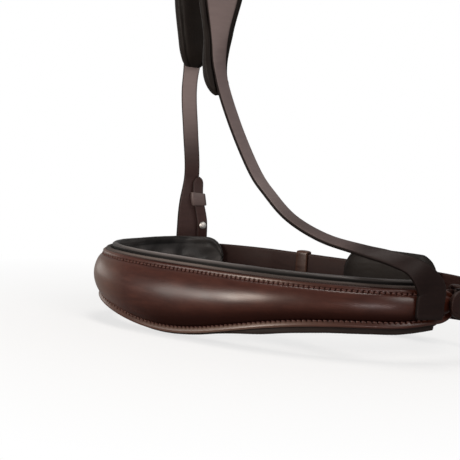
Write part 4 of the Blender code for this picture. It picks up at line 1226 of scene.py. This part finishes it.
def crown_cushion():
    """Soft pad under the crown: rolled rims either side of the leather and a full middle."""
    rising = HEADPIECE.far <= HEADPIECE.top_at
    heights = HEADPIECE.places[:, 2]
    first = float(np.interp(LEFT_PAD_FOOT, heights[rising], HEADPIECE.far[rising]))
    last = float(np.interp(-RIGHT_PAD_FOOT, -heights[~rising], HEADPIECE.far[~rising]))
    stations = rounded_stations(first, last, CROWN_PAD_TIP, 170, 14, 5.0)
    strap_half = 0.5 * HEADPIECE.width(stations)[:, None]
    far = stations[:, None]
    share = tip_share(np.minimum(far - first, last - far) + 0.0008, CROWN_PAD_TIP)
    half = (strap_half + CROWN_PAD_OVERLAP) * (0.3 + 0.7 * share)
    thick = CROWN_PAD_THICKNESS * (0.25 + 0.75 * share)
    top = -0.5 * HANGER_THICKNESS - CLEAR
    across = np.sin(np.radians(np.linspace(90.0, -90.0, 33)))
    bulge = np.clip(1.0 - np.abs(across) ** 4, 0.0, 1.0) ** 0.5
    seam = hill(np.abs(across) * half - (half - CROWN_SEAM_IN), PAD_SEAM)
    out = top - thick * (PAD_SIDE + PAD_BELLY * bulge) + CROWN_SEAM_SUNK * seam
    out -= CROWN_FOLD * soft_folds(far, across * half, 0.026, 9) * bulge
    front = np.sin(np.radians(np.linspace(-90.0, 90.0, 17)))[1:-1]
    lift = np.clip((np.abs(front) * half - strap_half - 0.0004) / CROWN_RIM_WIDTH, 0.0, 1.0)
    fall = np.exp(-(half - np.abs(front) * half) / CROWN_EDGE_FALL)
    face = top + CROWN_RIM * np.sin(math.pi * lift) * share - 0.12 * thick * fall
    rings = strap_rings(stations, np.hstack((out, face)), np.hstack((half * across, half * front)))
    # Painted shade in the sunk seam
    piece = loft("crown_cushion", rings, CUSHION_LEATHER,
                 shade=np.hstack((0.6 * seam, np.zeros_like(face))))
    settle(piece, "noseband", "black_padding", "crown_pad", fill=0.7)


# Left billet, its keeper and its stud

BILLET_WIDTH = 0.0080
BILLET_THICKNESS = 0.0020
BILLET_FROM = 0.0180
BILLET_TO = 0.0692
BILLET_TIP = 0.0055
BILLET_HOLE = (0.0016, 0.006)
BILLET_KEEPER_FROM = 0.0467
BILLET_KEEPER_LENGTH = 0.0100
BILLET_KEEPER_WALL = 0.0012
BILLET_KEEPER_SHEEN = 0.30
BILLET_KEEPER_PROFILE = (
    (0.5, 0.15), (0.47, 0.0), (0.25, 0.0), (0.0, 0.0), (-0.25, 0.0), (-0.47, 0.0), (-0.5, 0.15),
    (-0.5, 0.70), (-0.48, 0.90), (-0.42, 1.0), (-0.2, 1.12), (0.0, 1.15), (0.2, 1.12),
    (0.42, 1.0), (0.48, 0.90), (0.5, 0.70))
STUD_FROM = 0.0311
STUD_NECK = 0.0012
STUD_HEAD = 0.0027
STUD_RIM = 0.0008
STUD_DOME = 0.0013


def billet_point(from_base, sideways, inward):
    """Place on the billet, by distance up the hanger, across the billet and towards the horse."""
    place, _, normal, side = (rows[0] for rows in HEADPIECE.at(from_base))
    stand_off = CLEAR + (BILLET_KEEPER_WALL + 2.0 * CLEAR) * smooth(0.019, 0.035, from_base)
    offset = 0.0090 - 0.0044 * smooth(0.032, 0.066, from_base)
    return (place - normal * (0.5 * HANGER_THICKNESS + stand_off + inward)
            + side * (sideways - offset) + SHIFT)


def billet_strip():
    """Narrow billet beside the hanger's foot, rounded at its tip."""
    tip_turns = np.radians(np.linspace(10.0, 86.0, 9))
    stations = np.concatenate((np.linspace(BILLET_FROM, BILLET_TO - BILLET_TIP, 34),
                               BILLET_TO - BILLET_TIP * (1.0 - np.sin(tip_turns))))
    rings, shade = [], []
    for station in stations:
        half = 0.5 * BILLET_WIDTH * max(float(tip_share(BILLET_TO - station, 0.006)), 0.25)
        pairs = rounded_strip(0.0, BILLET_THICKNESS, half, -half, 0.0006)
        rings.append([billet_point(station, across, inward) for inward, across in pairs])
        # Darkened along its sides, partly edge dye and partly painted shade
        shade.append([0.7 * (abs(across) > 0.9 * half) for inward, across in pairs])
    piece = loft("left_billet_strip", rings, HANGER_LEATHER, shade=shade)
    _, run, normal, side = (rows[0] for rows in HEADPIECE.at(STUD_FROM))
    cut_away(piece, round_cutter(*BILLET_HOLE, (run, -normal, side)),
             billet_point(STUD_FROM, 0.0, 0.0))
    settle(piece, "noseband", "dark_leather", "left_billet")


def billet_loop():
    """Small keeper closed round the billet."""
    rings = []
    for part, grown in BILLET_KEEPER_PROFILE:
        station = BILLET_KEEPER_FROM + BILLET_KEEPER_LENGTH * (0.5 + part)
        grow = CLEAR + BILLET_KEEPER_WALL * grown
        half = 0.5 * BILLET_WIDTH + grow
        rings.append([billet_point(station, across, inward) for inward, across in
                      rounded_strip(-grow, BILLET_THICKNESS + grow, half, -half,
                                    0.0006 + 0.7 * grow, 5)])
    # Painted sheen, even all over the keeper
    piece = loft("left_billet_loop", rings, HANGER_LEATHER, joined=True,
                 bloom=BILLET_KEEPER_SHEEN * np.ones(np.shape(rings)[:2]))
    settle(piece, "noseband", "brown_leather", "left_billet_keeper")


def turned_piece(name, base, axis, profile, material, sides=28, joined=False):
    """Turned piece from (distance along its axis, radius) pairs."""
    axis = rows_normal(np.asarray(axis, dtype=float))
    side = rows_normal(np.cross(axis, np.array((1.0, 0.0, 0.0)) if abs(axis[0]) < 0.8 else UP))
    turn = 2.0 * math.pi * np.arange(sides) / sides
    circle = np.cos(turn)[:, None] * side + np.sin(turn)[:, None] * np.cross(axis, side)
    rings = [np.asarray(base) + axis * far + circle * radius for far, radius in profile]
    return loft(name, rings, material, joined=joined)


def hook_stud():
    """Round-headed stud, its neck through the billet and its head toward the horse."""
    normal = HEADPIECE.at(STUD_FROM)[2][0]
    front = BILLET_THICKNESS + 2.0 * CLEAR
    profile = [(0.0002, STUD_NECK - 0.0003), (0.0003, STUD_NECK), (front - 0.0002, STUD_NECK),
               (front, STUD_NECK + 0.0002), (front + 0.00005, STUD_HEAD - 0.0004),
               (front + 0.0003, STUD_HEAD - 0.0001), (front + STUD_RIM, STUD_HEAD)]
    profile += [(front + STUD_RIM + STUD_DOME * math.sin(turn), STUD_HEAD * math.cos(turn) ** 0.8)
                for turn in map(math.radians, (14, 28, 42, 56, 70, 84))]
    piece = turned_piece("left_stud", billet_point(STUD_FROM, 0.0, 0.0), -normal, profile,
                         STUD_STEEL)
    settle(piece, "noseband", "steel", "left_hook_stud")


# Roller buckle

BUCKLE_HALF_HEIGHT = 0.0126
BUCKLE_CORNER = 0.0030
ROLLER_RADIUS = 0.0027
ROLLER_BORE = 0.0019
ROLLER_HALF_LENGTH = 0.0095
ROLLER_ENDS = ((0.0, 0.0003), (0.0001, 0.0001), (0.0003, 0.0))
TONGUE_RADIUS = 0.0011
TAB_HALF_HEIGHT = 0.0085
TAB_EDGE = 0.0006
TAB_SLOT = (0.00625, 0.006, 0.0019)
TAB_KEEPER_WIDTH = 0.006


def buckle_axes():
    """Centre and directions of the flat buckle, its heel bar on the tab's fold."""
    heel = at_loop(HEEL_AT, BUCKLE_OUT, -STRAP_DROP)
    along_axis = rows_normal(at_loop(ROLLER_AT, BUCKLE_OUT, -STRAP_DROP) - heel)
    outward = np.array((along_axis[1], -along_axis[0], 0.0))
    return heel + along_axis * BUCKLE_REACH, along_axis, outward


def closed_wire(name, points, radius, material, sides=14):
    """Round wire bent into a closed frame lying in one plane."""
    points = np.asarray(points)
    count = len(points)
    runs = rows_normal(points[(np.arange(count) + 1) % count] - points[np.arange(count) - 1])
    flat = rows_normal(np.cross(points[count // 4] - points[0], points[count // 2] - points[0]))
    turn = 2.0 * math.pi * np.arange(sides) / sides
    rings = [place + radius * (np.cos(turn)[:, None] * np.cross(run, flat)
                               + np.sin(turn)[:, None] * flat)
             for place, run in zip(points, runs)]
    return loft(name, rings, material, joined=True)


def buckle_ring():
    """Flat frame of the buckle, bent from one round wire."""
    centre, along_axis, _ = buckle_axes()
    points = []
    for quarter, (x, z) in enumerate(((1, 1), (-1, 1), (-1, -1), (1, -1))):
        for step in range(9):
            turn = math.radians(90.0 * quarter + 11.25 * step)
            wide = x * (BUCKLE_REACH - BUCKLE_CORNER) + BUCKLE_CORNER * math.cos(turn)
            tall = z * (BUCKLE_HALF_HEIGHT - BUCKLE_CORNER) + BUCKLE_CORNER * math.sin(turn)
            points.append(centre + along_axis * wide + UP * tall)
    piece = closed_wire("buckle_ring", points, BUCKLE_WIRE, STEEL)
    settle(piece, "noseband", "steel", "buckle_frame")


def buckle_roller_tube():
    """Roller on the buckle's outer bar, with eased ends."""
    centre, along_axis, _ = buckle_axes()
    ends = [(ROLLER_HALF_LENGTH - inset, ROLLER_RADIUS - drop) for inset, drop in ROLLER_ENDS]
    ends.insert(0, (ROLLER_HALF_LENGTH, ROLLER_BORE))
    profile = [(-far, radius) for far, radius in ends] + ends[::-1]
    piece = turned_piece("roller_tube", centre + along_axis * BUCKLE_REACH, UP, profile, STEEL,
                         sides=32, joined=True)
    settle(piece, "roller", "steel", "buckle_roller")


def buckle_tongue_wire():
    """Round tongue curled about the heel bar, tapered to its tip on the roller."""
    centre, along_axis, outward = buckle_axes()
    heel = centre - along_axis * BUCKLE_REACH
    curl = BUCKLE_WIRE + 1.5 * CLEAR + TONGUE_RADIUS
    rest = ROLLER_RADIUS + CLEAR + TONGUE_RADIUS
    reach = 2.0 * BUCKLE_REACH + 0.0035
    bends = [(curl * math.cos(turn), curl * math.sin(turn), 1.0)
             for turn in np.radians(np.linspace(-30.0, -254.0, 22))]
    bends += [(0.004, curl + 0.0002, 1.0), (0.009, curl + 0.0005, 1.0), (0.014, rest - 0.0003, 1.0),
              (0.019, rest - 0.0001, 0.97), (2.0 * BUCKLE_REACH, rest, 0.92),
              (reach - 0.0012, rest - 0.0003, 0.84), (reach - 0.0003, rest - 0.0005, 0.66),
              (reach, rest - 0.0006, 0.35)]
    points = [heel + along_axis * far + outward * out for far, out, taper in bends]
    radii = [TONGUE_RADIUS * taper for far, out, taper in bends]
    piece = loft("tongue_wire", tube(points, radii, 14), STEEL)
    settle(piece, "tongue", "steel", "buckle_tongue")


def buckle_tab():
    """Folded tab that holds the buckle: under the bar, round it and back on itself."""
    low = STRAP_LOW + 0.5 * CHAPE_THICKNESS
    lap = STRAP_LOW + 1.5 * CHAPE_THICKNESS + CLEAR
    knots = [(along, low) for along in np.linspace(ARM_LENGTH - 0.0155, HEEL_AT - 0.009, 8)]
    knots.append((HEEL_AT - 0.005, BUCKLE_OUT - CHAPE_FOLD - 0.0007))
    knots += [(HEEL_AT + CHAPE_FOLD * math.cos(turn), BUCKLE_OUT + CHAPE_FOLD * math.sin(turn))
              for turn in map(math.radians, range(-90, 91, 15))]
    knots += [(HEEL_AT - 0.004, BUCKLE_OUT + CHAPE_FOLD - 0.0018), (HEEL_AT - 0.008, lap + 0.0004),
              (HEEL_AT - 0.0135, lap)]
    pairs = np.array(rounded_strip(-0.5 * CHAPE_THICKNESS, 0.5 * CHAPE_THICKNESS,
                                   TAB_HALF_HEIGHT, -TAB_HALF_HEIGHT, TAB_EDGE))
    rings = []
    for index, (along, out) in enumerate(knots):
        before, after = knots[max(index - 1, 0)], knots[min(index + 1, len(knots) - 1)]
        run = rows_normal(np.subtract(after, before))
        rings.append(at_loop(along + run[1] * pairs[:, 0], out - run[0] * pairs[:, 0],
                             -STRAP_DROP + pairs[:, 1]))
    piece = loft("buckle_tab", rings, STRAP_LEATHER)
    cut_away(piece, slot_cutter(*TAB_SLOT, loop_axes(HEEL_AT)),
             at_loop(HEEL_AT + 0.0005, BUCKLE_OUT, -STRAP_DROP))
    settle(piece, "noseband", "dark_leather", "buckle_chape")


def buckle_tab_keeper():
    """Keeper round the strap and the folded tab."""
    piece = sleeve("tab_keeper", ARM_LENGTH + 0.005, TAB_KEEPER_WIDTH,
                   STRAP_OVER + 0.5 * STRAP_THICKNESS + CLEAR, STRAP_LEATHER)
    settle(piece, "noseband", "dark_leather", "buckle_keeper")


headpiece_leather()
crown_cushion()
billet_strip()
billet_loop()
hook_stud()
buckle_ring()
buckle_roller_tube()
buckle_tongue_wire()
buckle_tab()
buckle_tab_keeper()


# Floor, background, lights and camera

FLOOR_LEVEL = -0.3290
FLOOR_RADIUS = 2.4
FLOOR_SHADED_TO = 0.14
FLOOR_WHITE_FROM = 0.42
FLOOR_COLOUR = (0.14, 0.14, 0.14)
FLOOR_SEEN = (0.82, 0.82, 0.82)
GLOSS_SEES = 0.15
WORLD_LEVEL = 0.20
VIEW_SIDE = math.radians(33.4)
VIEW_RISE = math.radians(6.1)
VIEW_ROLL = math.radians(3.9)
VIEW_DISTANCE = 1.2
VIEW_LENS = 134.16
VIEW_SHIFT = (-0.126, 0.0587)
LAMP_COLOUR = (1.0, 0.95, 0.90)


def background_share(tree):
    """How far a ray sees the white background: wholly for the camera, in part for gloss."""
    path = tree.nodes.new('ShaderNodeLightPath')
    gloss = math_node(tree, 'MULTIPLY', path.outputs['Is Glossy Ray'], GLOSS_SEES)
    seen = math_node(tree, 'ADD', path.outputs['Is Camera Ray'], gloss)
    through = math_node(tree, 'MAXIMUM', seen, path.outputs['Is Transmission Ray'])
    return math_node(tree, 'MINIMUM', through, 1.0)


def pale_floor():
    """Pale floor that keeps the soft shadow near the noseband and is white further out."""
    made, tree, shader = new_material("pale_floor")
    seen = background_share(tree)
    tree.links.new(mix_colour(tree, seen, FLOOR_COLOUR, FLOOR_SEEN),
                   shader.inputs['Base Color'])
    shader.inputs['Roughness'].default_value = 0.8
    shader.inputs['Specular IOR Level'].default_value = 0.1
    white = node(tree, 'ShaderNodeEmission', {'Color': (1.0, 1.0, 1.0, 1.0), 'Strength': 1.0})
    far = node(tree, 'ShaderNodeVectorMath', operation='LENGTH')
    tree.links.new(object_places(tree), far.inputs[0])
    fade = ranged(tree, far.outputs['Value'], FLOOR_SHADED_TO, FLOOR_WHITE_FROM, 0.70, 1.0)
    both = tree.nodes.new('ShaderNodeMixShader')
    tree.links.new(math_node(tree, 'MULTIPLY', fade, seen), both.inputs[0])
    tree.links.new(shader.outputs[0], both.inputs[1])
    tree.links.new(white.outputs[0], both.inputs[2])
    tree.links.new(both.outputs[0], tree.nodes['Material Output'].inputs['Surface'])
    return made


def stage_floor():
    """Round floor, far wider than the view."""
    work = bmesh.new()
    bmesh.ops.create_circle(work, cap_ends=True, segments=96, radius=FLOOR_RADIUS)
    mesh = bpy.data.meshes.new("floor")
    work.to_mesh(mesh)
    work.free()
    mesh.materials.append(pale_floor())
    floor = bpy.data.objects.new("floor", mesh)
    floor.location = (SHIFT[0], SHIFT[1], FLOOR_LEVEL)
    bpy.context.collection.objects.link(floor)


def white_surroundings():
    """Dim even light from all round that the camera sees as white."""
    world = bpy.data.worlds.new("studio")
    bpy.context.scene.world = world
    world.use_nodes = True
    tree = world.node_tree
    background = tree.nodes['Background']
    background.inputs['Color'].default_value = (1.0, 1.0, 1.0, 1.0)
    tree.links.new(ranged(tree, background_share(tree), 0.0, 1.0, WORLD_LEVEL, 1.0),
                   background.inputs['Strength'])


def view_axes():
    """The camera's directions: right, up and back."""
    side = np.array((math.cos(VIEW_SIDE), math.sin(VIEW_SIDE), 0.0))
    back = np.array((math.sin(VIEW_SIDE) * math.cos(VIEW_RISE),
                     -math.cos(VIEW_SIDE) * math.cos(VIEW_RISE), math.sin(VIEW_RISE)))
    up = np.cross(back, side)
    right = math.cos(VIEW_ROLL) * side + math.sin(VIEW_ROLL) * up
    up = -math.sin(VIEW_ROLL) * side + math.cos(VIEW_ROLL) * up
    return right, up, back


def soft_light(name, offset, size, watts, colour=LAMP_COLOUR):
    """Soft box aimed at the noseband; its offset is to the right, up and toward the camera."""
    right, up, back = view_axes()
    data = bpy.data.lights.new(name, 'AREA')
    data.shape = 'RECTANGLE'
    data.size, data.size_y = size
    data.energy = watts
    data.color = colour
    lamp = bpy.data.objects.new(name, data)
    place = SHIFT + right * offset[0] + up * offset[1] + back * offset[2]
    lamp.location = place
    lamp.rotation_euler = Vector(place - SHIFT).to_track_quat('Z', 'Y').to_euler()
    bpy.context.collection.objects.link(lamp)


def main_camera():
    """Camera at the photograph's viewing angle and crop."""
    right, up, back = view_axes()
    data = bpy.data.cameras.new("camera")
    data.lens = VIEW_LENS
    data.sensor_width = 36.0
    data.shift_x, data.shift_y = VIEW_SHIFT
    camera = bpy.data.objects.new("camera", data)
    place = SHIFT + back * VIEW_DISTANCE
    camera.matrix_world = Matrix([*zip(right, up, back, place), (0.0, 0.0, 0.0, 1.0)])
    bpy.context.collection.objects.link(camera)
    bpy.context.scene.camera = camera


stage_floor()
white_surroundings()
soft_light("side_strip", (-0.98, 0.16, 0.50), (0.44, 0.30), 3.4)
soft_light("bright_strip", (-0.86, 0.14, 0.72), (0.22, 0.24), 6.2, (1.0, 0.87, 0.76))
soft_light("left_back_box", (-0.98, -0.12, -0.69), (0.70, 1.00), 3.5)
soft_light("low_strip", (0.16, -0.20, 1.10), (0.45, 0.18), 4.6, (1.0, 0.82, 0.80))
soft_light("top_box", (0.05, 1.25, 0.15), (0.90, 0.35), 8.0)
soft_light("front_box", (0.75, 0.55, 1.00), (0.50, 0.50), 5.0)
main_camera()
bpy.context.scene.view_settings.view_transform = 'Standard'
